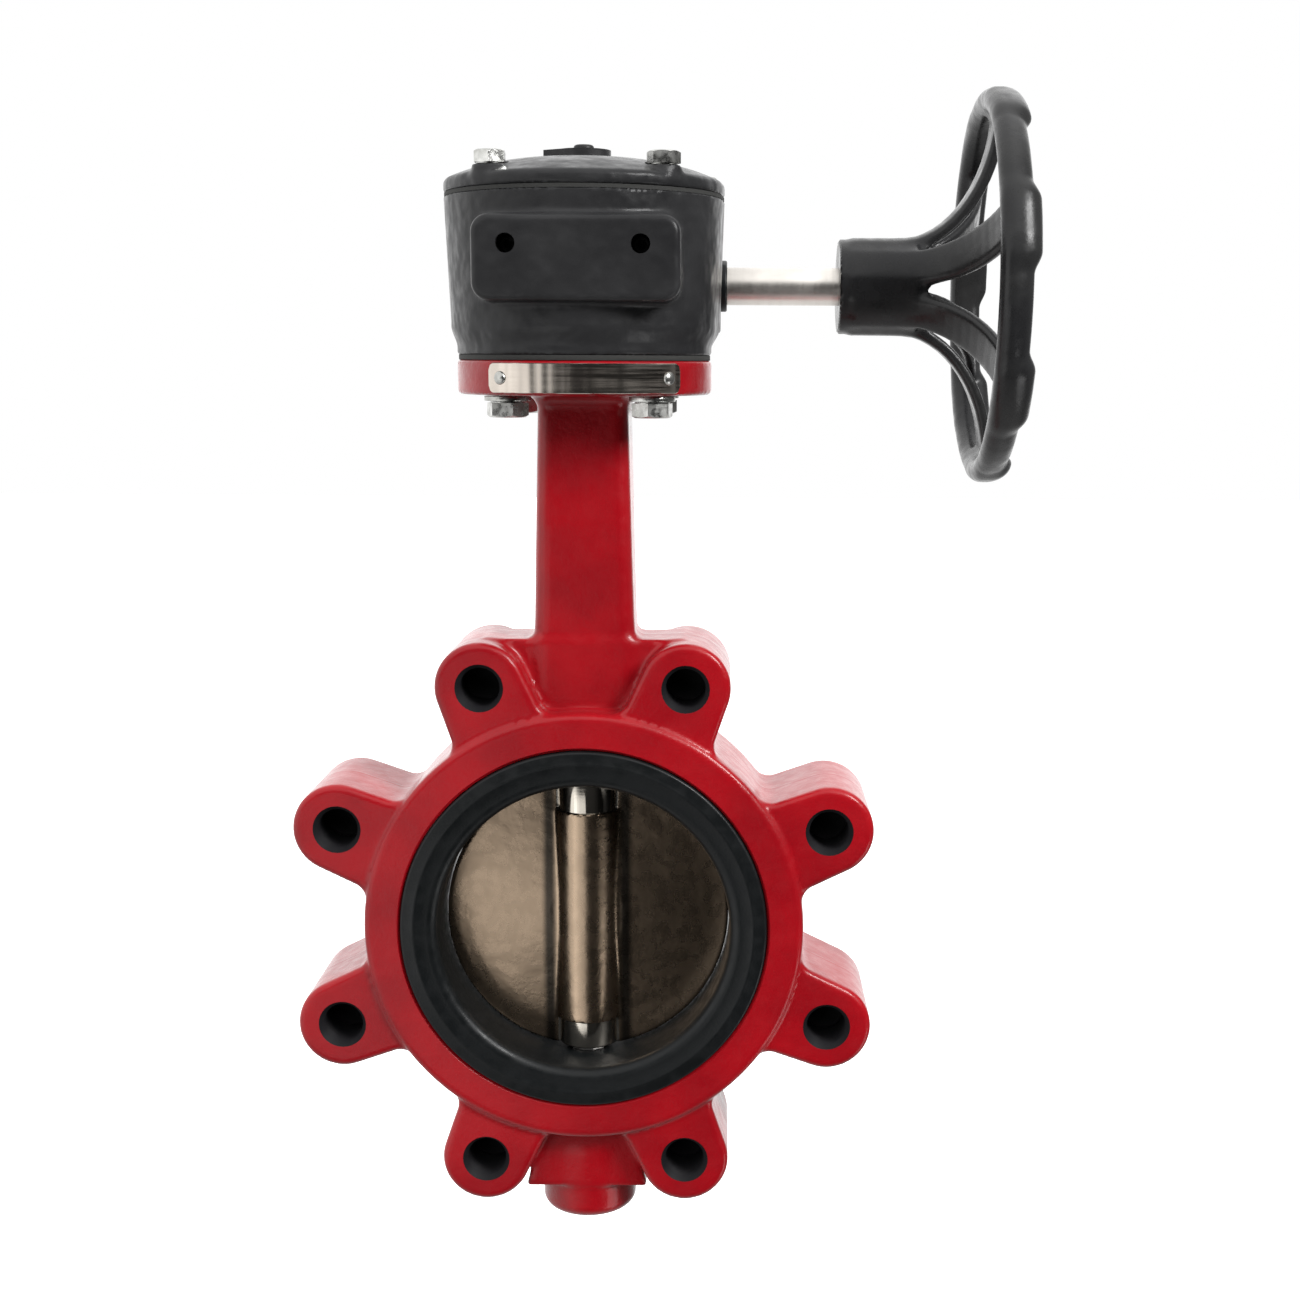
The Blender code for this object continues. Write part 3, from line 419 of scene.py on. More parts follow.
class Look(Nodes):
    """A Principled material whose nodes vary it over a surface."""

    def __init__(self, name, colour, roughness, metallic=0.0, **sockets):
        self.material = bpy.data.materials.new(name)
        self.material.use_nodes = True
        super().__init__(self.material.node_tree)
        self.shader = self.tree.nodes["Principled BSDF"]
        self.set("Base Color", (*colour, 1.0))
        self.set("Roughness", roughness)
        self.set("Metallic", metallic)
        for socket, value in sockets.items():
            self.set(socket.replace("_", " "), value)
        self.place = self.tree.nodes.new("ShaderNodeTexCoord").outputs["Object"]
        self.relief = None

    def set(self, socket, value):
        self.shader.inputs[socket].default_value = value

    def feed(self, socket, output):
        self.tree.links.new(output, self.shader.inputs[socket])

    def noise(self, scale, detail=3.0, stretch=(1, 1, 1), rough=0.5):
        """Noise from 0 to 1. Scale is in features per metre, divided along each axis by stretch."""
        node = self.tree.nodes.new("ShaderNodeTexNoise")
        node.inputs["Scale"].default_value = scale
        node.inputs["Detail"].default_value = detail
        node.inputs["Roughness"].default_value = rough
        mapping = self.tree.nodes.new("ShaderNodeMapping")
        mapping.inputs["Scale"].default_value = [1 / s for s in stretch]
        self.tree.links.new(self.place, mapping.inputs["Vector"])
        self.tree.links.new(mapping.outputs["Vector"], node.inputs["Vector"])
        return node.outputs["Fac"]

    def part(self, axis):
        """One coordinate of the object's own place, in metres."""
        node = self.tree.nodes.new("ShaderNodeSeparateXYZ")
        self.tree.links.new(self.place, node.inputs["Vector"])
        return node.outputs[axis]

    def mix(self, factor, first, second):
        node = self.tree.nodes.new("ShaderNodeMix")
        node.data_type = "RGBA"
        if isinstance(factor, (int, float)):
            node.inputs["Factor"].default_value = factor
        else:
            self.tree.links.new(factor, node.inputs["Factor"])
        for socket, colour in (("A", first), ("B", second)):
            target = [i for i in node.inputs if i.name == socket and i.type == "RGBA"][0]
            if isinstance(colour, tuple):
                target.default_value = (*colour, 1.0)
            else:
                self.tree.links.new(colour, target)
        return [o for o in node.outputs if o.type == "RGBA"][0]

    def raise_by(self, height, depth, strength=1.0):
        """Add relief: height from 0 to 1 stands for a depth in metres."""
        node = self.tree.nodes.new("ShaderNodeBump")
        node.inputs["Strength"].default_value = strength
        node.inputs["Distance"].default_value = depth
        self.tree.links.new(height, node.inputs["Height"])
        if self.relief is not None:
            self.tree.links.new(self.relief, node.inputs["Normal"])
        self.relief = node.outputs["Normal"]
        self.feed("Normal", self.relief)


def cast_paint(name, colour, shade_colour, roughness, sand, sag, coat, gleam):
    """Sprayed paint over a sand casting: fine sand grain, slower waves and uneven gloss."""
    look = Look(name, colour, roughness, Coat_Weight=coat, Coat_Roughness=0.16, Coat_IOR=1.28)
    look.set("Specular IOR Level", gleam)
    drift = look.noise(28, 3)
    look.feed("Base Color", look.mix(look.rescale(drift, 0.35, 0.7), colour, shade_colour))
    gloss = look.noise(190, 4)
    look.feed("Roughness", look.rescale(gloss, 0.3, 0.75, roughness - 0.07, roughness + 0.1))
    look.raise_by(look.noise(75, 2), sag)
    look.raise_by(look.noise(620, 5, rough=0.65), sand)
    return look


def red_paint():
    colours = (0.34, 0.0032, 0.008), (0.25, 0.0024, 0.0065)
    look = cast_paint("red_paint", *colours, 0.36, 0.00018, 0.0005, 0.7, 0.18)
    seam = look.maths("ABSOLUTE", look.part("Y"))
    look.raise_by(look.rescale(seam, 0.0002, 0.0009, 1.0, 0.0), 0.00022)
    return look.material


def gloss_black():
    colours = (0.026, 0.026, 0.027), (0.017, 0.017, 0.018)
    return cast_paint("black_paint", *colours, 0.36, 0.00008, 0.0020, 0.16, 0.14).material


def enamel_black():
    colours = (0.022, 0.022, 0.022), (0.015, 0.015, 0.016)
    return cast_paint("black_enamel", *colours, 0.3, 0.00005, 0.0005, 0.14, 0.2).material


def rubber():
    look = Look("black_rubber", (0.005, 0.006, 0.006), 0.4, Specular_IOR_Level=0.22)
    drift = look.noise(60, 4)
    look.feed("Base Color", look.mix(drift, (0.004, 0.005, 0.005), (0.008, 0.009, 0.010)))
    look.feed("Roughness", look.rescale(look.noise(240, 4), 0.3, 0.7, 0.30, 0.46))
    look.raise_by(look.noise(1400, 3), 0.00005)
    return look.material


def disc_metal():
    """Cast aluminium bronze, bright where the barrel's ends are turned, with painted shade in the corners
    beside the barrel.
    """
    look = Look("disc_bronze", (0.36, 0.31, 0.25), 0.42, 1.0)
    x, y, z = look.part("X"), look.part("Y"), look.part("Z")
    above = look.rescale(z, BARREL_TOP_Z - 0.0003, BARREL_TOP_Z)
    below = look.rescale(z, BARREL_BOTTOM_Z, BARREL_BOTTOM_Z + 0.0003, 1.0, 0.0)
    squares = look.maths("MULTIPLY", x, x), look.maths("MULTIPLY", y, y)
    from_axis = look.maths("SQRT", look.maths("ADD", *squares))
    on_collar = look.rescale(from_axis, 0.0118, 0.0121, 1.0, 0.0)
    is_turned = look.maths("MULTIPLY", look.maths("MAXIMUM", above, below), on_collar)
    cast_and_shade_colour = look.mix(look.noise(95, 4), (0.375, 0.282, 0.200), (0.325, 0.242, 0.170))
    # Painted shade: a dark band on each side of the barrel stands in for the shade in the cast corner.
    beside = look.maths("ABSOLUTE", look.maths("SUBTRACT", look.maths("ABSOLUTE", x), GROOVE_SHADE_X))
    groove_shade = look.rescale(beside, 0.0006, 0.0034, 1.0, 0.0)
    cast_and_shade_colour = look.mix(groove_shade, cast_and_shade_colour, (0.06, 0.05, 0.04))
    look.feed("Base Color", look.mix(is_turned, cast_and_shade_colour, (0.52, 0.48, 0.42)))
    rough = look.rescale(look.noise(200, 3), 0.3, 0.7, 0.25, 0.30)
    smooth_out = look.maths("MULTIPLY", is_turned, -0.14)
    look.feed("Roughness", look.maths("ADD", rough, smooth_out))
    is_cast = look.maths("SUBTRACT", 1.0, is_turned)
    grain = look.maths("MULTIPLY", look.noise(900, 2), is_cast)
    look.raise_by(look.maths("MULTIPLY", look.noise(110, 2), is_cast), 0.00022)
    look.raise_by(grain, 0.00003)
    lines = look.noise(200, 2, stretch=(4, 4, 0.05))
    look.raise_by(look.maths("MULTIPLY", lines, is_turned), 0.00001)
    return look.material


def hole_thread_shade():
    """Unpainted, oiled threads inside the tapped holes, coloured near black as painted shade deep in each
    hole.
    """
    look = Look("bare_thread_shade", (0.006, 0.006, 0.007), 0.6, Specular_IOR_Level=0.2)
    look.feed("Base Color", look.mix(look.noise(300, 3), (0.003, 0.003, 0.005), (0.010, 0.009, 0.010)))
    look.raise_by(look.noise(1500, 3), 0.00005)
    return look.material


def turned_steel(name, colour, axis, roughness=0.24):
    """Lathe-turned metal: fine rings across the given axis, with slow stains along it."""
    look = Look(name, colour, roughness, 1.0)
    stretch = tuple(0.03 if k == axis else 3.0 for k in range(3))
    lines = look.noise(120, 3, stretch=stretch)
    dark = tuple(c * 0.72 for c in colour)
    look.feed("Base Color", look.mix(look.rescale(look.noise(45, 4), 0.35, 0.75), colour, dark))
    look.feed("Roughness", look.rescale(lines, 0.3, 0.7, roughness - 0.04, roughness + 0.08))
    look.raise_by(lines, 0.000001)
    return look.material


def zinc_plate():
    look = Look("zinc", (0.66, 0.66, 0.64), 0.28, 1.0)
    cloud = look.rescale(look.noise(160, 5), 0.35, 0.7)
    look.feed("Base Color", look.mix(cloud, (0.55, 0.55, 0.53), (0.34, 0.34, 0.32)))
    look.feed("Roughness", look.rescale(look.noise(420, 4), 0.3, 0.7, 0.2, 0.42))
    look.raise_by(look.noise(1300, 3), 0.00005)
    return look.material


def brushed_plate():
    """Brushed sheet metal: scratches run round the flange."""
    look = Look("tag_metal", (0.78, 0.77, 0.75), 0.24, 1.0)
    scratches = look.noise(500, 3, stretch=(14, 14, 0.35))
    look.feed("Base Color", look.mix(look.noise(70, 3), (0.58, 0.53, 0.47), (0.38, 0.33, 0.29)))
    look.feed("Roughness", look.rescale(scratches, 0.3, 0.7, 0.14, 0.26))
    look.raise_by(scratches, 0.000006)
    look.raise_by(look.noise(75, 2, stretch=(1, 1, 40)), 0.0030)
    return look.material


def gear_iron():
    look = Look("gear_iron", (0.2, 0.2, 0.2), 0.45, 1.0)
    grease = look.rescale(look.noise(120, 4), 0.45, 0.65)
    look.feed("Base Color", look.mix(grease, (0.24, 0.24, 0.235), (0.10, 0.075, 0.04)))
    look.feed("Roughness", look.rescale(grease, 0.0, 1.0, 0.5, 0.2))
    look.raise_by(look.noise(600, 4), 0.0001)
    return look.material


def gasket_sheet():
    look = Look("gasket", (0.06, 0.06, 0.055), 0.85)
    fibre = look.noise(900, 4, stretch=(1, 1, 0.5))
    look.feed("Base Color", look.mix(fibre, (0.016, 0.016, 0.015), (0.030, 0.030, 0.028)))
    look.raise_by(fibre, 0.00008)
    return look.material


RED = red_paint()
BLACK = gloss_black()
ENAMEL = enamel_black()
RUBBER = rubber()
BRONZE_DISC = disc_metal()
SHAFT_STEEL = turned_steel("stainless_shaft", (0.80, 0.76, 0.71), 0, 0.36)
STEM_STEEL = turned_steel("stainless_stem", (0.62, 0.60, 0.57), 2)
BUSH_BRONZE = turned_steel("bronze_bush", (0.56, 0.36, 0.14), 2, 0.34)
ZINC = zinc_plate()
PLATE = brushed_plate()
IRON = gear_iron()
GASKET = gasket_sheet()
# The thread material is near black: unpainted threads, darkened as painted shade inside the holes.
THREAD = hole_thread_shade()


# --- Body casting ---
LUG_ROOT_U, LUG_ROOT_R = 0.062, 0.018
SADDLE_HALF_X, SADDLE_HALF_Y, SADDLE_TOP_Z = 0.036, 0.0137, 0.1040
WEB_LOW_Z, WEB_HALF_Y = -0.102, 0.0172
NECK_HEIGHTS = (0.066, 0.098, 0.112, 0.126, 0.145, FLANGE_LOW)
NECK_HALF_X = (0.0190, 0.0184, 0.0178, 0.0174, 0.0169, 0.0158)
NECK_HALF_Y = (0.0138, 0.0139, 0.0145, 0.0154, 0.0161, 0.0160)


def body_field(x, y, z):
    radius = np.hypot(x, z)
    depth = np.abs(y)
    ring = meet(0.0020, radius - RING_R, depth - RING_HALF)

    step = 2 * pi / LUG_COUNT
    turn = np.mod(np.arctan2(z, x), step) - step / 2
    u, v = radius * np.cos(turn), radius * np.sin(turn)
    plan = teardrop(u, v, LUG_ROOT_U, LUG_ROOT_R, BOLT_CIRCLE_R, LUG_R)
    plan = join(0.0045, radius - RING_R, plan)
    lugs = meet(0.0022, plan, depth - LUG_HALF)
    solid = join(0.0009, ring, lugs)

    half_x = np.interp(z, NECK_HEIGHTS, NECK_HALF_X)
    half_y = np.interp(z, NECK_HEIGHTS, NECK_HALF_Y)
    column = rectangle(x, y, half_x, half_y, 0.0050)
    neck = meet(0.0, column, z - FLANGE_LOW - 0.002, 0.06 - z)
    saddle = meet(0.0016, np.abs(x) - SADDLE_HALF_X, depth - SADDLE_HALF_Y, z - SADDLE_TOP_Z, 0.05 - z)
    saddle = join(0.0032, saddle, neck)
    solid = join(0.0020, solid, saddle)

    flange = meet(0.0016, np.hypot(x, y) - FLANGE_R, z - FLANGE_HIGH, FLANGE_LOW - z)
    solid = join(0.0055, solid, flange)

    web_half = np.interp(z, (WEB_LOW_Z, -0.068), (0.0225, 0.0135))
    web = meet(0.0014, np.abs(x) - web_half, depth - WEB_HALF_Y, WEB_LOW_Z - z, z + 0.06)
    solid = join(0.0022, solid, web)
    boss = meet(0.0042, np.hypot(x, y) - BOSS_R, BODY_LOW.z - z, z + 0.085)
    return join(0.0018, solid, boss)


def threaded_hole(depth):
    """A cutter along +Z for a tapped blind hole whose mouth is at z = 0."""
    mouth = THREAD_R + 0.0007
    profile = [(0, 0.002), (mouth, 0.002), (mouth, 0.0), (THREAD_R, -0.0009)]
    turn_count = int((depth - 0.004) / THREAD_PITCH)
    for turn in range(turn_count):
        height = -0.0009 - THREAD_PITCH * turn
        profile.append((THREAD_R - THREAD_DEPTH, height - THREAD_PITCH / 2))
        profile.append((THREAD_R, height - THREAD_PITCH))
    last = profile[-1][1]
    profile += [(THREAD_R - THREAD_DEPTH, last - 0.001), (THREAD_R - THREAD_DEPTH, -depth + 0.002)]
    profile.append((0, -depth))
    return turned(profile, 32)


def lug_holes():
    holes = []
    for x, z in LUG_PLACES:
        for side in (-1, 1):
            face_out = Matrix.Rotation(-side * pi / 2, 4, "X")
            place = shift(x, side * LUG_HALF, z)
            holes.append(moved(threaded_hole(HOLE_DEPTH), face_out, place))
    return holes


def paint_holes(body):
    """Leave the tapped holes bare and near black, as painted shade: every face that lies inside a hole's
    mouth.
    """
    body.data.materials.append(THREAD)
    count = len(body.data.polygons)
    centres = np.empty(count * 3, np.float32)
    body.data.polygons.foreach_get("center", centres)
    centres = centres.reshape(-1, 3)
    is_hole_shade = np.zeros(count, bool)
    for x, z in LUG_PLACES:
        away = np.hypot(centres[:, 0] - x, centres[:, 2] - z)
        is_hole_shade |= (away < THREAD_R + 0.0006) & (np.abs(centres[:, 1]) < LUG_HALF - 0.0001)
    body.data.polygons.foreach_set("material_index", is_hole_shade.astype(np.int32))


def build_body():
    body = cast("cast_body", body_field, BODY_LOW, BODY_HIGH, 0.0012, 0.003)

    bore, recess, floor, far = LINER_BACK_R + GAP, LINER_LIP_R + GAP, LIP_INNER_Y - GAP, 0.03
    bevel = 0.0009
    half = [(bore, floor), (recess, floor), (recess, RING_HALF - bevel)]
    half += [(recess + bevel, RING_HALF), (recess + bevel, far), (0, far)]
    seat = [(r, -y) for r, y in reversed(half)] + half
    machine(body, moved(turned(seat, 160), TO_Y))
    machine(body, together(*lug_holes()))

    upper = [(0, 0.05), (0.0105, 0.05), (0.0105, 0.1003), (0.009, 0.1003), (0.009, 0.1697)]
    upper += [(0.0105, 0.1697), (0.0105, 0.21), (0, 0.21)]
    lower = [(0, -0.12), (0.0125, -0.12), (0.0125, -0.1042), (0.0105, -0.1042)]
    lower += [(0.0105, -0.05), (0, -0.05)]
    machine(body, together(turned(upper, 32), turned(lower, 32)))
    bolts = rods_at(MOUNT_PLACES, 0.0045, FLANGE_LOW - 0.005, FLANGE_HIGH + 0.005, 24)
    machine(body, together(*bolts))
    stand_for(body, VALVE, RED, "red_paint", "valve_body")
    paint_holes(body)


# --- Liner and disc ---
def build_liner():
    """The rubber sleeve, with a rounded mouth and one low sealing bead on the face of each lip."""
    face = LINER_HIGH.y
    mouth, edge = 0.0040, 0.0010
    bead_r, bead_half, bead = 0.0612, 0.0011, 0.0003
    flat = face - bead
    half = [(BORE_R, 0.008)]
    half += arc((BORE_R + mouth, flat - mouth), mouth, 180, 90, 8)
    half += [
        (bead_r - bead_half, flat),
        (bead_r - bead_half * 0.5, face - bead * 0.2),
        (bead_r, face),
        (bead_r + bead_half * 0.5, face - bead * 0.2),
        (bead_r + bead_half, flat),
    ]
    half += arc((LINER_LIP_R - edge, flat - edge), edge, 90, 0, 3)
    half += [(LINER_LIP_R, LIP_INNER_Y), (LINER_BACK_R, LIP_INNER_Y)]
    profile = half + [(r, -y) for r, y in reversed(half)]
    liner = add_object("rubber_liner", moved(turned(profile, 160), TO_Y))
    machine(liner, rod(STEM_R + GAP, -0.07, 0.07, 48))
    stand_for(liner, VALVE, RUBBER, "black_rubber", "seat_liner")


DISC_R = DISC_HIGH.x
BARREL_R = 0.0122


def disc_field(x, y, z):
    """A lens-shaped plate with a barrel across it."""
    radius = np.hypot(x, z)
    half = np.interp(radius, (0, 0.014, 0.046, DISC_R), (0.0066, 0.0064, 0.0036, 0.0033))
    plate = meet(0.0010, radius - DISC_R, np.abs(y) - half)
    barrel = meet(0.0008, np.hypot(x, y) - BARREL_R, z - BARREL_TOP_Z, BARREL_BOTTOM_Z - z)
    return join(0.0012, plate, barrel)


def build_disc():
    disc = cast("valve_disc", disc_field, DISC_LOW, DISC_HIGH, 0.0008)
    end, trim = 0.0505, 0.06
    square = [(-trim, -0.02), (trim, -0.02), (trim, 0.02), (-trim, 0.02)]
    machine(disc, together(prism(square, end, trim), prism(square, -trim, -end)))
    collar_r, edge = 0.0112, 0.0008
    collars = []
    for side in (-1, 1):
        profile = [(0, 0.030), (collar_r, 0.030)]
        profile += arc((collar_r - edge, end - edge), edge, 0, 90, 3) + [(0, end)]
        flipped = Matrix.Rotation(0 if side > 0 else pi, 4, "X")
        collars.append(moved(turned(profile, 64), flipped))
    machine(disc, together(*collars), "UNION")
    sockets = together(rod(STEM_R + GAP, 0.0247, trim, 32), rod(STEM_R + GAP, -trim, -0.0247, 32))
    machine(disc, sockets)
    stand_for(disc, DISC_BODY, BRONZE_DISC, "disc_bronze", "disc")


# --- Gearbox ---
HOUSING_R = 0.0487
HOUSING_LEFT_X, HOUSING_RIGHT_X = -0.045, 0.048
SHAFT_BOSS_R = 0.0175
FOOT_R, FOOT_TOP_Z = 0.0448, 0.214
PAD_MID_Z, PAD_HALF_Z = 0.2355, 0.0140
CAVITY_FLOOR_Z, TROUGH_FLOOR_Z = 0.2185, 0.2135
COVER_EDGE_Z = 0.2635
DRAFT = 0.045  # how fast the round front widens with height
COVER_BOLTS = [(-0.0289, -0.0314), (0.0289, -0.0314), (0.0408, 0.0598), (-0.0378, 0.0598)]
BOSS_TOP_Z = 0.2664
STOP_X, STOP_Z = 0.022, 0.240
PAD_MID_X, PAD_HALF_X = 0.0008, 0.0342
CAVITY = [
    (-0.038, -0.015), (-0.0165, -0.0365), (0.0165, -0.0365), (0.041, -0.012),
    (0.041, 0.052), (0.033, 0.0602), (-0.030, 0.0602), (-0.038, 0.052),
]


def housing_plan(x, y):
    """The gearbox from above: round about the stem, with the square worm case behind."""
    barrel = np.hypot(x, y) - HOUSING_R
    middle_x = (HOUSING_LEFT_X + HOUSING_RIGHT_X) / 2
    half_x = (HOUSING_RIGHT_X - HOUSING_LEFT_X) / 2
    worm_case = meet(0.009, np.abs(x - middle_x) - half_x, y - HOUSING_HIGH.y, -y)
    return join(0.004, barrel, worm_case)


def plan_outline(inset, count=144):
    """Points where the gearbox's plan, drawn in by the inset, crosses rays from its middle."""
    turns = np.linspace(0, 2 * pi, count, endpoint=False)
    near, far = np.zeros(count), np.full(count, 0.1)
    for _ in range(40):
        middle = (near + far) / 2
        x, y = middle * np.cos(turns), 0.01 + middle * np.sin(turns)
        is_inside = housing_plan(x, y) < -inset
        near = np.where(is_inside, middle, near)
        far = np.where(is_inside, far, middle)
    return [(r * cos(t), 0.01 + r * sin(t)) for r, t in zip(near, turns)]


def housing_field(x, y, z):
    plan = housing_plan(x, y) + DRAFT * (HOUSING_HIGH.z - z)
    box = meet(0.0060, plan, 0.2085 - z)
    box = meet(0.0006, box, z - HOUSING_HIGH.z)
    foot = meet(0.0012, np.hypot(x, y) - FOOT_R, z - FOOT_TOP_Z, HOUSING_LOW.z - z)
    solid = join(0.0030, box, foot)
    round_shaft = np.hypot(y - WHEEL_AXIS.y, z - WHEEL_AXIS.z) - SHAFT_BOSS_R
    bore_boss = meet(0.0012, round_shaft, x - HOUSING_RIGHT_X, -x)
    cap_boss = meet(0.0012, round_shaft, HOUSING_LEFT_X - x, x)
    solid = join(0.0016, solid, bore_boss, cap_boss)
    pad_plan = rectangle(x - PAD_MID_X, z - PAD_MID_Z, PAD_HALF_X, PAD_HALF_Z, 0.0060)
    pad = meet(0.0022, pad_plan, HOUSING_LOW.y - y, y + 0.028)
    return join(0.0022, solid, pad)


def build_housing():
    housing = cast("cast_housing", housing_field, HOUSING_LOW, HOUSING_HIGH, 0.0009)
    machine(housing, prism(CAVITY, CAVITY_FLOOR_Z, 0.27))
    trough = [(-0.036, 0.0295), (0.036, 0.0295), (0.036, 0.0602), (-0.036, 0.0602)]
    machine(housing, prism(trough, TROUGH_FLOOR_Z, 0.22))
    machine(housing, rod(0.0165, 0.19, 0.22, 48))
    machine(housing, moved(rod(0.0125, -0.06, 0.06, 48), TO_X, SHAFT_AXIS))
    stops = [
        moved(rod(0.0032, -0.06, -0.012, 32), TO_Y, shift(x, 0, STOP_Z)) for x in (-STOP_X, STOP_X)
    ]
    tapped = rods_at(MOUNT_PLACES, 0.0042, 0.19, 0.2170, 24)
    tapped += rods_at(COVER_BOLTS, 0.0033, 0.2455, 0.27, 24)
    machine(housing, together(*stops, *tapped))
    stand_for(housing, VALVE, BLACK, "black_paint", "gearbox_housing")


def cover_field(x, y, z):
    """A lid that is crowned towards the stem, with a cast boss round each bolt."""
    plan = housing_plan(x, y)
    rise = COVER_HIGH.z - COVER_EDGE_Z
    ratio = np.clip(1 + plan / HOUSING_R, 0, 1)
    top = COVER_EDGE_Z + rise * (1 - ratio**2.8)
    lid = meet(0.0013, plan, (z - top) * 0.9, COVER_LOW.z - z)
    for bolt_x, bolt_y in COVER_BOLTS:
        round_bolt = np.hypot(x - bolt_x, y - bolt_y) - 0.0060
        boss = meet(0.0006, round_bolt, z - BOSS_TOP_Z, COVER_LOW.z + 0.002 - z)
        lid = join(0.0015, lid, boss)
    return lid


def build_cover():
    cover = cast("cast_cover", cover_field, COVER_LOW, COVER_HIGH, 0.0009)
    machine(cover, together(*rods_at(COVER_BOLTS, 0.0064, BOSS_TOP_Z, 0.29, 48)))
    machine(cover, together(*rods_at(COVER_BOLTS, 0.0034, 0.25, 0.28, 32)))
    machine(cover, rod(0.020, 0.25, 0.264, 48))
    machine(cover, rod(0.0084, 0.25, 0.29, 48))
    stand_for(cover, VALVE, BLACK, "black_paint", "gearbox_cover")


def build_gaskets():
    overlap = GAP + 0.0001
    low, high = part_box("cover_gasket")
    low.z, high.z = low.z - overlap, high.z + overlap
    outer, inner = plan_outline(0.0002), plan_outline(0.0060)
    count = len(outer)
    points = [(x, y, z) for outline in (outer, inner) for z in (low.z, high.z) for x, y in outline]
    faces = []
    for a, b in ((0, 1), (1, 3), (3, 2), (2, 0)):
        for i in range(count):
            j = (i + 1) % count
            faces.append((a * count + i, a * count + j, b * count + j, b * count + i))
    sheet = add_mesh("cover_joint", points, faces)
    stand_for(sheet, VALVE, GASKET, "gasket", "cover_gasket")
    low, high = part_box("flange_gasket")
    low.z, high.z = low.z - overlap, high.z + overlap
    ring = add_object("flange_joint", ring_of(0.017, high.x, low.z, high.z, 128))
    stand_for(ring, VALVE, GASKET, "gasket", "flange_gasket")


# --- Handwheel ---
RIM_X = 0.1505
RIM_HALF_X = WHEEL_HIGH.x - RIM_X
RIM_DEPTH = 0.0096
WHEEL_R = WHEEL_HIGH.z - WHEEL_AXIS.z
HUB_R = 0.0175
HORN_X = 0.113
HORN_REACH_X, HORN_REACH_R = 0.0370, 0.0500
HORN_WALL = 0.0042
SPOKES = 6
FIRST_SPOKE = radians(155.5)
SPOKE_ROOT_HALF, SPOKE_HALF = 0.0067, 0.0080
ROLL_PIN_X = 0.103
GRIPS = 7
FIRST_GRIP = radians(163.7)


def horn_distance(x, r):
    """Distance to the curve that the spokes follow from the hub out to the rim."""
    turns = [radians(a) for a in range(0, 91, 6)]
    xs = [HORN_X - 0.015] + [HORN_X + HORN_REACH_X * sin(t) for t in turns]
    rs = [HUB_R - HORN_WALL / 2] + [HUB_R - HORN_WALL / 2 + HORN_REACH_R * (1 - cos(t)) for t in turns]
    nearest = None
    for (x0, r0), (x1, r1) in zip(zip(xs, rs), zip(xs[1:], rs[1:])):
        run_x, run_r = x1 - x0, r1 - r0
        share = ((x - x0) * run_x + (r - r0) * run_r) / (run_x**2 + run_r**2)
        share = np.clip(share, 0, 1)
        away = (x - x0 - share * run_x) ** 2 + (r - r0 - share * run_r) ** 2
        nearest = away if nearest is None else np.minimum(nearest, away)
    return np.sqrt(nearest)


def wheel_field(x, y, z):
    """The wheel in its own place: x along the shaft, y and z from the shaft's axis."""
    radius = np.hypot(y, z)
    turn = np.arctan2(z, y)
    shell = horn_distance(x, radius) - HORN_WALL / 2

    strips = None
    for spoke in range(SPOKES):
        middle = FIRST_SPOKE + 2 * pi * spoke / SPOKES
        across = np.abs(z * cos(middle) - y * sin(middle))
        ahead = y * cos(middle) + z * sin(middle)
        flare = SPOKE_HALF + 0.0035 * np.clip((radius - 0.050) / 0.015, 0, 1) ** 2
        flare = flare - (SPOKE_HALF - SPOKE_ROOT_HALF) * np.exp(-np.maximum(radius - HUB_R, 0) / 0.010)
        strip = np.where(ahead > 0, across - flare, np.hypot(ahead, across) - flare)
        strips = strip if strips is None else join(0.0060, strips, strip)
    spokes = meet(0.0018, shell, strips)

    hub = meet(0.0008, radius - HUB_R, WHEEL_LOW.x - x, x - 0.1205)
    solid = join(0.0020, hub, spokes)

    lobe = np.clip((np.cos(GRIPS * (turn - FIRST_GRIP)) + 0.2) / 0.8, 0, 1)
    lobe = lobe * lobe * (3 - 2 * lobe)
    dip = 0.0024 * (1 - lobe)
    middle_r = WHEEL_R - RIM_DEPTH / 2
    back = -RIM_HALF_X - (x - RIM_X)
    front = (x - RIM_X) - RIM_HALF_X + dip
    outer = radius - WHEEL_R + dip * 0.35
    inner = middle_r - RIM_DEPTH / 2 - radius
    corner = (front + outer) * sqrt(0.5) + 0.0030
    rim = meet(0.0044, np.maximum(back, front), np.maximum(inner, outer))
    rim = meet(0.0030, rim, corner)
    return join(0.0030, solid, rim)


def build_wheel():
    low, high = (WHEEL_LOW.x, -WHEEL_R, -WHEEL_R), (WHEEL_HIGH.x, WHEEL_R, WHEEL_R)
    wheel = cast("hand_wheel", wheel_field, low, high, 0.0010)
    machine(wheel, moved(rod(0.0073, 0.08, 0.13, 48), TO_X))
    wheel.data.transform(SHAFT_AXIS)
    machine(wheel, moved(rod(0.0028, -0.03, 0.03, 24), shift(ROLL_PIN_X), SHAFT_AXIS))
    stand_for(wheel, WHEEL_BODY, ENAMEL, "black_enamel", "handwheel")


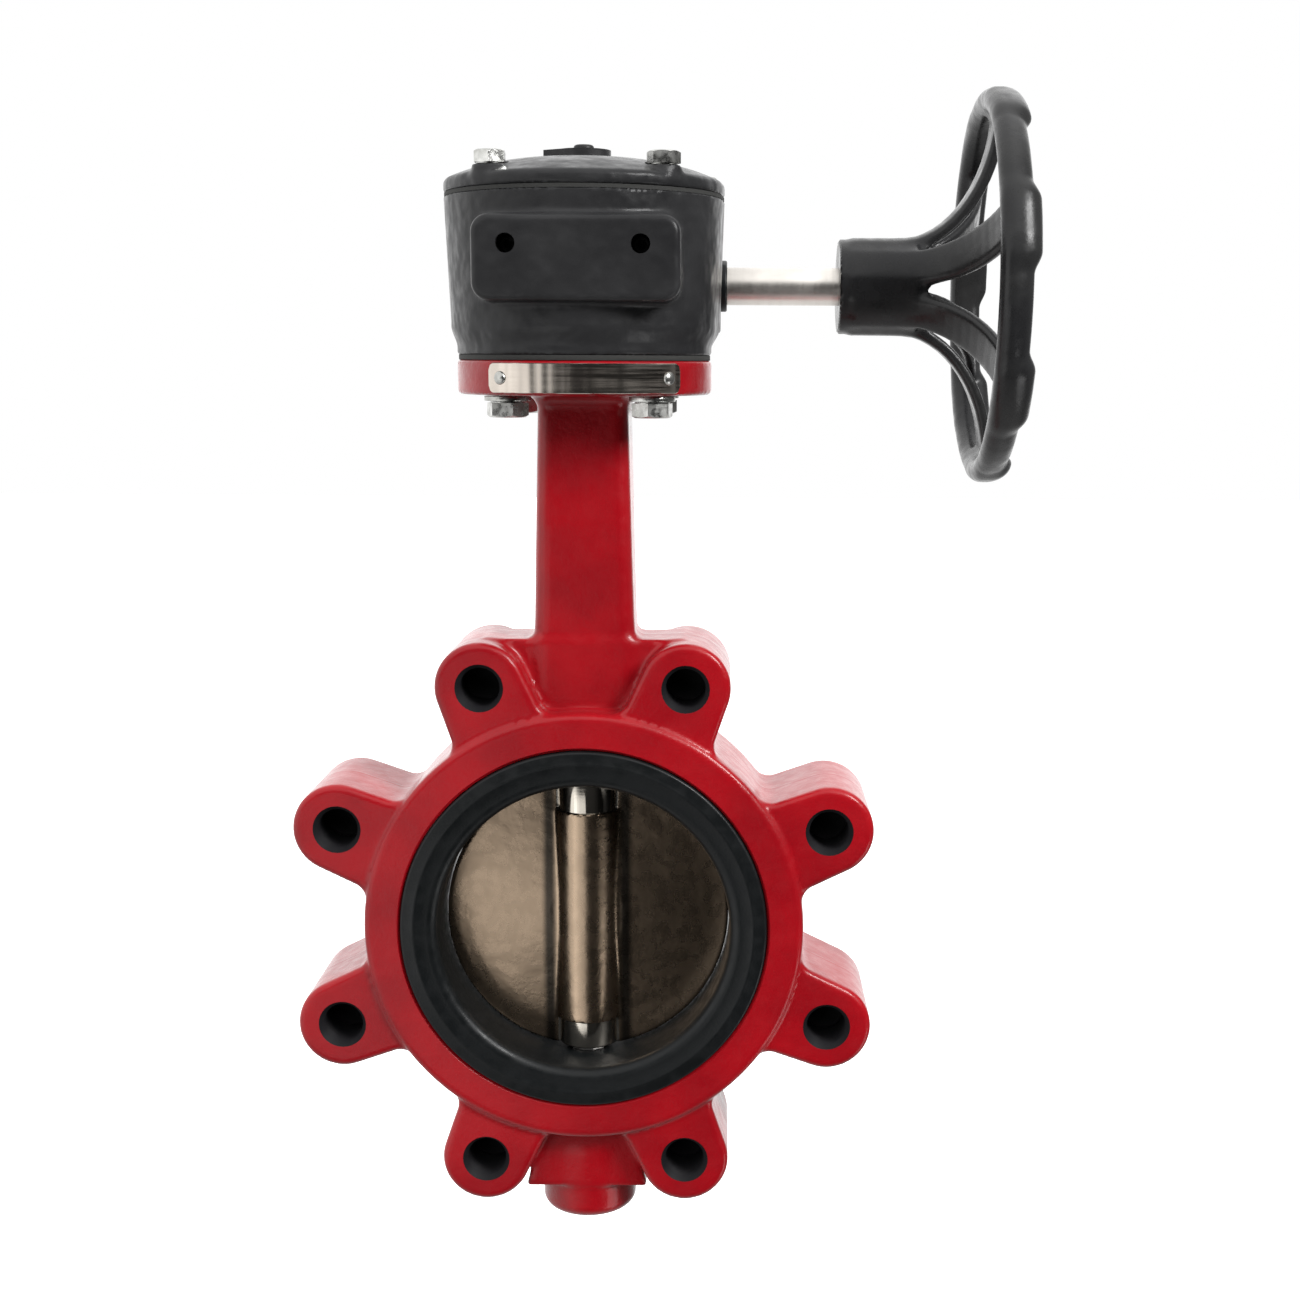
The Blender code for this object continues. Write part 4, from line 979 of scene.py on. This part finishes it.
def build_shaft():
    low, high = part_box("input_shaft")
    shaft_r, inner_r = 0.007, 0.0055
    profile = [(0, low.x), (inner_r, low.x), (inner_r, 0.0414), (shaft_r - 0.0003, 0.0414), (shaft_r, 0.0417)]
    profile += [(shaft_r, high.x - 0.001), (shaft_r - 0.001, high.x), (0, high.x)]
    shaft = add_object("drive_shaft", moved(turned(profile, 64), TO_X, SHAFT_AXIS))
    stand_for(shaft, WHEEL_BODY, SHAFT_STEEL, "stainless", "input_shaft")

    low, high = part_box("handwheel_roll_pin")
    pin_r = (high.x - low.x) / 2
    profile = ring_of(pin_r * 0.55, pin_r, low.z, high.z, 32, 0.0004)
    pin = add_object("roll_pin", moved(profile, shift((low.x + high.x) / 2, WHEEL_AXIS.y)))
    stand_for(pin, WHEEL_BODY, STEM_STEEL, "stainless", "handwheel_roll_pin")

    low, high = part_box("shaft_seal")
    inner, flange_r, collar_r = shaft_r + GAP, (high.y - low.y) / 2, 0.0095
    step = 0.0480
    profile = [(inner, low.x), (flange_r, low.x), (flange_r, step - 0.0005), (flange_r - 0.0005, step)]
    profile += [(collar_r, step), (collar_r, high.x - 0.0007)]
    profile += arc((collar_r - 0.0007, high.x - 0.0007), 0.0007, 0, 90, 3) + [(inner, high.x)]
    seal = add_object("lip_seal", moved(turned(profile, 64), TO_X, SHAFT_AXIS))
    stand_for(seal, VALVE, RUBBER, "black_rubber", "shaft_seal")

    low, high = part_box("shaft_end_cap")
    cap_r = (high.y - low.y) / 2
    profile = [(0, high.x), (cap_r, high.x), (cap_r, low.x + 0.0008), (cap_r - 0.0008, low.x)]
    profile += [(cap_r * 0.7, low.x), (cap_r * 0.66, low.x + 0.0006), (0, low.x + 0.0006)]
    cap = add_object("end_cap", moved(turned(profile, 64), TO_X, SHAFT_AXIS))
    stand_for(cap, VALVE, BLACK, "black_paint", "shaft_end_cap")


# --- Fasteners and trim ---
def hexagon(across_flats, head):
    """A hex head along +Z on a washer face, with the cone cut that leaves an arc on each side."""
    inner_r = across_flats / 2
    flat_r = inner_r * 0.94
    per_side = 8
    count = 6 * per_side
    washer_face = 0.00035
    rings = [[], [], [], []]
    for i in range(count):
        turn = 2 * pi * i / count
        from_flat = (turn % (pi / 3)) - pi / 6
        reach = inner_r / cos(from_flat)
        cone = head - max(0.0, reach - flat_r) * tan(radians(30))
        c, s = cos(turn), sin(turn)
        rings[0].append((flat_r * c, flat_r * s, 0.0))
        rings[1].append((flat_r * c, flat_r * s, washer_face))
        rings[2].append((reach * c, reach * s, washer_face))
        rings[3].append((reach * c, reach * s, cone))
    rings.append([(x, y, head) for x, y in around(flat_r, count, 0.0)])
    return stacked(rings)


def threaded_shank(radius, length, pitch):
    """A shank along -Z from z = 0, ringed with thread grooves over its lower part."""
    profile = [(0, 0.0005), (radius, 0.0005), (radius, -length * 0.3)]
    height = -length * 0.3
    while height - pitch > -length + 0.0008:
        profile.append((radius * 0.88, height - pitch / 2))
        profile.append((radius, height - pitch))
        height -= pitch
    profile += [(radius * 0.85, -length), (0, -length)]
    return turned(profile, 32)


def build_bolt(name, node, across_flats, head, shank_r, length, transform):
    bolt = add_object(name, moved(hexagon(across_flats, head), transform), 28)
    machine(bolt, moved(threaded_shank(shank_r, length, 0.0011), transform), "UNION", 28)
    stand_for(bolt, VALVE, ZINC, "zinc", node)


def build_fasteners():
    upside_down = Matrix.Rotation(pi, 4, "X")
    for i, (x, y) in enumerate(MOUNT_PLACES, 1):
        low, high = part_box(f"mounting_washer_{i}")
        flat = ring_of(0.0042, 0.008, low.z, high.z, 48)
        washer = add_object(f"flat_washer_{i}", moved(flat, shift(x, y)))
        stand_for(washer, VALVE, ZINC, "zinc", f"mounting_washer_{i}")
        turn = Matrix.Rotation(radians(17 + 31 * i), 4, "Z")
        place = shift(x, y, low.z - GAP) @ turn @ upside_down
        build_bolt(f"flange_bolt_{i}", f"mounting_bolt_{i}", 0.0128, 0.0053, 0.0039, 0.0275, place)
    for i, (x, y) in enumerate(COVER_BOLTS, 1):
        turn = Matrix.Rotation(radians(8 + 23 * i), 4, "Z")
        place = shift(x, y, BOSS_TOP_Z + GAP) @ turn
        build_bolt(f"lid_bolt_{i}", f"cover_bolt_{i}", 0.0099, 0.0045, 0.003, 0.0185, place)
    for node, name in (("stop_screw_open", "open_stop"), ("stop_screw_closed", "closed_stop")):
        low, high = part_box(node)
        radius = (high.x - low.x) / 2
        bevel = 0.0005
        profile = [(0, low.y), (radius - bevel, low.y), (radius, low.y + bevel), (radius, high.y - bevel)]
        profile += [(radius - bevel, high.y), (0, high.y)]
        middle = shift((low.x + high.x) / 2, 0, STOP_Z)
        screw = add_object(name, moved(turned(profile, 32), TO_Y, middle))
        machine(screw, moved(rod(0.0017, low.y - 0.002, low.y + 0.004, 6), TO_Y, middle))
        stand_for(screw, VALVE, BLACK, "black_paint", node)


def build_bottom_plug():
    low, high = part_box("bottom_plug")
    radius, bevel = high.x, 0.0012
    profile = [(0, low.z), (radius - bevel, low.z), (radius, low.z + bevel), (radius, high.z), (0, high.z)]
    plug = add_object("end_plug", turned(profile, 64))
    machine(plug, rod(0.01 / sqrt(3), low.z - 0.002, low.z + 0.006, 6))
    stand_for(plug, VALVE, ZINC, "zinc", "bottom_plug")


def build_plate():
    """The blank metal tag: a strip with round corners, bent round the flange, and its rivets."""
    inner, outer = FLANGE_R + GAP, FLANGE_R + 0.0012
    middle, sweep = TAG_MIDDLE, TAG_SWEEP
    half_z = (PLATE_HIGH.z - PLATE_LOW.z) / 2
    mid_z = (PLATE_HIGH.z + PLATE_LOW.z) / 2
    corner, edge = 0.0022, 0.0002
    columns = 96
    rings = []
    for i in range(columns + 1):
        turn = sweep * (2 * i / columns - 1)
        to_end = (sweep - abs(turn)) * outer
        short = max(0.0, corner - to_end)
        reach = half_z - corner + sqrt(max(0.0, corner**2 - short**2))
        section = [
            (outer, -reach + edge), (outer, reach - edge), (outer - edge, reach),
            (inner + edge, reach), (inner, reach - edge), (inner, -reach + edge),
            (inner + edge, -reach), (outer - edge, -reach),
        ]
        c, s = cos(middle + turn), sin(middle + turn)
        rings.append([(r * c, r * s, mid_z + z) for r, z in section])
    tag = add_object("blank_tag", stacked(rings))
    rivets = {"left": middle - RIVET_SWEEP, "right": middle + RIVET_SWEEP}
    stand_for(tag, VALVE, PLATE, "tag_metal", "name_tag")
    shank_r, shank_start, head_r, rise = 0.0013, 0.0392, 0.0023, 0.0011
    base = outer + GAP * 0.2  # the rivet heads sit all but flush on the tag
    for side, turn in rivets.items():
        dome = [(head_r * cos(radians(a)), base + rise * sin(radians(a))) for a in range(0, 91, 15)]
        profile = [(0, shank_start), (shank_r, shank_start), (shank_r, base)] + dome
        profile[-1] = (0, base + rise)
        place = [TO_X, Matrix.Rotation(turn, 4, "Z"), shift(z=RIVET_Z)]
        rivet = add_object(f"tag_rivet_{side}", moved(turned(profile, 32), *place))
        stand_for(rivet, VALVE, ZINC, "zinc", f"name_tag_rivet_{side}")


def build_indicator():
    low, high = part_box("position_indicator")
    plate_low = COVER_HIGH.z + GAP
    cap_r, tip_x = high.x, low.x
    spread = [radians(220 + 280 * i / 28) for i in range(29)]
    outline = [(cap_r * cos(t), cap_r * sin(t)) for t in spread] + [(tip_x, 0.0015), (tip_x, -0.0015)]
    pointer = add_object("pointer", prism(outline, plate_low, high.z), 30)
    machine(pointer, rod(0.008, low.z, plate_low + 0.001, 48), "UNION", 30)
    machine(pointer, rod(0.0023, 0.25, 0.29, 24), smooth_below=30)
    soften(pointer, 0.00025)
    stand_for(pointer, DISC_BODY, BLACK, "black_paint", "position_indicator")

    low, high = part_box("indicator_screw")
    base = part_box("position_indicator")[1].z + GAP
    dome = arc((0.0026, base + 0.0006), 0.001, 0, 90, 4)
    profile = [(0, low.z), (0.002, low.z), (0.002, base), (0.0036, base)] + dome + [(0, base + 0.0016)]
    screw = add_object("pointer_screw", turned(profile, 40))
    slot_cut = prism([(-0.0045, -0.0004), (0.0045, -0.0004), (0.0045, 0.0004), (-0.0045, 0.0004)],
                     base + 0.0009, base + 0.004)
    machine(screw, slot_cut)
    stand_for(screw, DISC_BODY, BLACK, "black_paint", "indicator_screw")


def dress_hidden_parts():
    """The CAD nodes that stay as they are: bushes, stems and gears inside the castings."""
    bronze = "lower_stem_bushing middle_stem_bushing upper_stem_bushing quadrant_bushing"
    bronze += " worm_bearing_left worm_bearing_right"
    steel, iron = "upper_stem lower_stem worm_pin", "quadrant_gear stem_key worm"
    dressed = ((bronze, BUSH_BRONZE), ("stem_seal", RUBBER), (steel, STEM_STEEL), (iron, IRON))
    for names, look in dressed:
        for name in names.split():
            materials = frame["nodes"][name].data.materials
            materials.clear()
            materials.append(look)


# --- Studio ---
def build_floor():
    """A large sheet of white paper, lit evenly, well under the valve."""
    size, height = 6.0, -0.32
    corners = [(-size, -size, height), (size, -size, height), (size, size, height), (-size, size, height)]
    floor = add_mesh("floor", corners, [(0, 1, 2, 3)])
    look = Look("floor_paper", (0.86, 0.86, 0.86), 0.9, Emission_Color=(1, 1, 1, 1), Emission_Strength=0.85)
    look.feed("Base Color", look.mix(look.noise(2, 2), (0.86, 0.86, 0.86), (0.84, 0.84, 0.84)))
    floor.data.materials.append(look.material)
    floor.visible_diffuse = False
    floor.visible_glossy = False


def softbox(name, place, target, width, height, power):
    lamp = bpy.data.lights.new(name, "AREA")
    lamp.shape = "RECTANGLE"
    lamp.size, lamp.size_y = width, height
    lamp.energy = power
    made = link(name, lamp)
    made.location = place
    made.rotation_euler = (Vector(target) - Vector(place)).to_track_quat("-Z", "Y").to_euler()


def build_world():
    """A white room behind, above and to the left, dark in front and to the right and dim below."""
    world = bpy.data.worlds.new("studio")
    world.use_nodes = True
    tree = world.node_tree
    tree.nodes.clear()
    direction = tree.nodes.new("ShaderNodeTexCoord").outputs["Generated"]
    parts = tree.nodes.new("ShaderNodeSeparateXYZ")
    tree.links.new(direction, parts.inputs["Vector"])

    nodes = Nodes(tree)
    x, y, z = [parts.outputs[axis] for axis in "XYZ"]
    height = nodes.maths("MAXIMUM", z, 0.0)
    steepness = nodes.maths("MULTIPLY", nodes.maths("MULTIPLY", height, height), 2.2)
    openness = nodes.maths("ADD", y, nodes.maths("ADD", steepness, nodes.maths("MULTIPLY", x, -0.35)))
    room = nodes.rescale(openness, -0.80, -0.20, 0.03, 1.5)
    from_below = nodes.rescale(z, -0.7, -0.05, 0.6, 1.0)
    from_right = nodes.rescale(x, 0.35, 0.80, 1.0, 0.15)
    room = nodes.maths("MULTIPLY", room, nodes.maths("MULTIPLY", from_below, from_right))

    backgrounds = [tree.nodes.new("ShaderNodeBackground") for _ in range(2)]
    for node in backgrounds:
        node.inputs["Color"].default_value = (1, 1, 1, 1)
    tree.links.new(room, backgrounds[0].inputs["Strength"])
    path = tree.nodes.new("ShaderNodeLightPath")
    choose = tree.nodes.new("ShaderNodeMixShader")
    tree.links.new(path.outputs["Is Camera Ray"], choose.inputs[0])
    tree.links.new(backgrounds[0].outputs[0], choose.inputs[1])
    tree.links.new(backgrounds[1].outputs[0], choose.inputs[2])
    output = tree.nodes.new("ShaderNodeOutputWorld")
    tree.links.new(choose.outputs[0], output.inputs["Surface"])
    bpy.context.scene.world = world


def build_lights():
    middle = (0.02, 0.0, 0.08)
    softbox("key_right", (1.05, -0.80, 0.95), middle, 0.5, 0.5, 27)
    softbox("panel_left", (-1.10, -0.75, 0.15), middle, 0.8, 1.0, 0.6)
    softbox("panel_low", (-0.58, -1.08, -0.34), middle, 0.95, 0.6, 2.2)
    softbox("panel_right", (1.00, -0.55, -0.80), middle, 0.6, 0.6, 4)
    build_world()


def build_camera():
    """A longish lens level with the top flange, a little right of the stem, looking slightly down."""
    sensor = 36.0
    focal_share = 1.3846  # focal length over the frame's width
    lens = bpy.data.cameras.new("camera")
    lens.sensor_width = sensor
    lens.lens = focal_share * sensor
    lens.shift_x = -0.0538
    lens.clip_start = 0.01
    camera = link("camera", lens)
    yaw, pitch, roll = radians(-0.04), radians(9.33), radians(0.33)
    forward = Vector((sin(yaw) * cos(pitch), cos(yaw) * cos(pitch), -sin(pitch)))
    right = Vector((cos(yaw), -sin(yaw), 0))
    up = right.cross(forward)
    side = right * cos(roll) + up * sin(roll)
    top = up * cos(roll) - right * sin(roll)
    facing = Matrix((side, top, -forward)).transposed().to_4x4()
    camera.matrix_world = Matrix.Translation((0.0489, -0.6474, 0.2047)) @ facing
    bpy.context.scene.camera = camera
    bpy.context.scene.view_settings.view_transform = "Standard"


build_body()
build_liner()
build_disc()
build_housing()
build_cover()
build_gaskets()
build_wheel()
build_shaft()
build_fasteners()
build_bottom_plug()
build_plate()
build_indicator()
dress_hidden_parts()
build_floor()
build_lights()
build_camera()
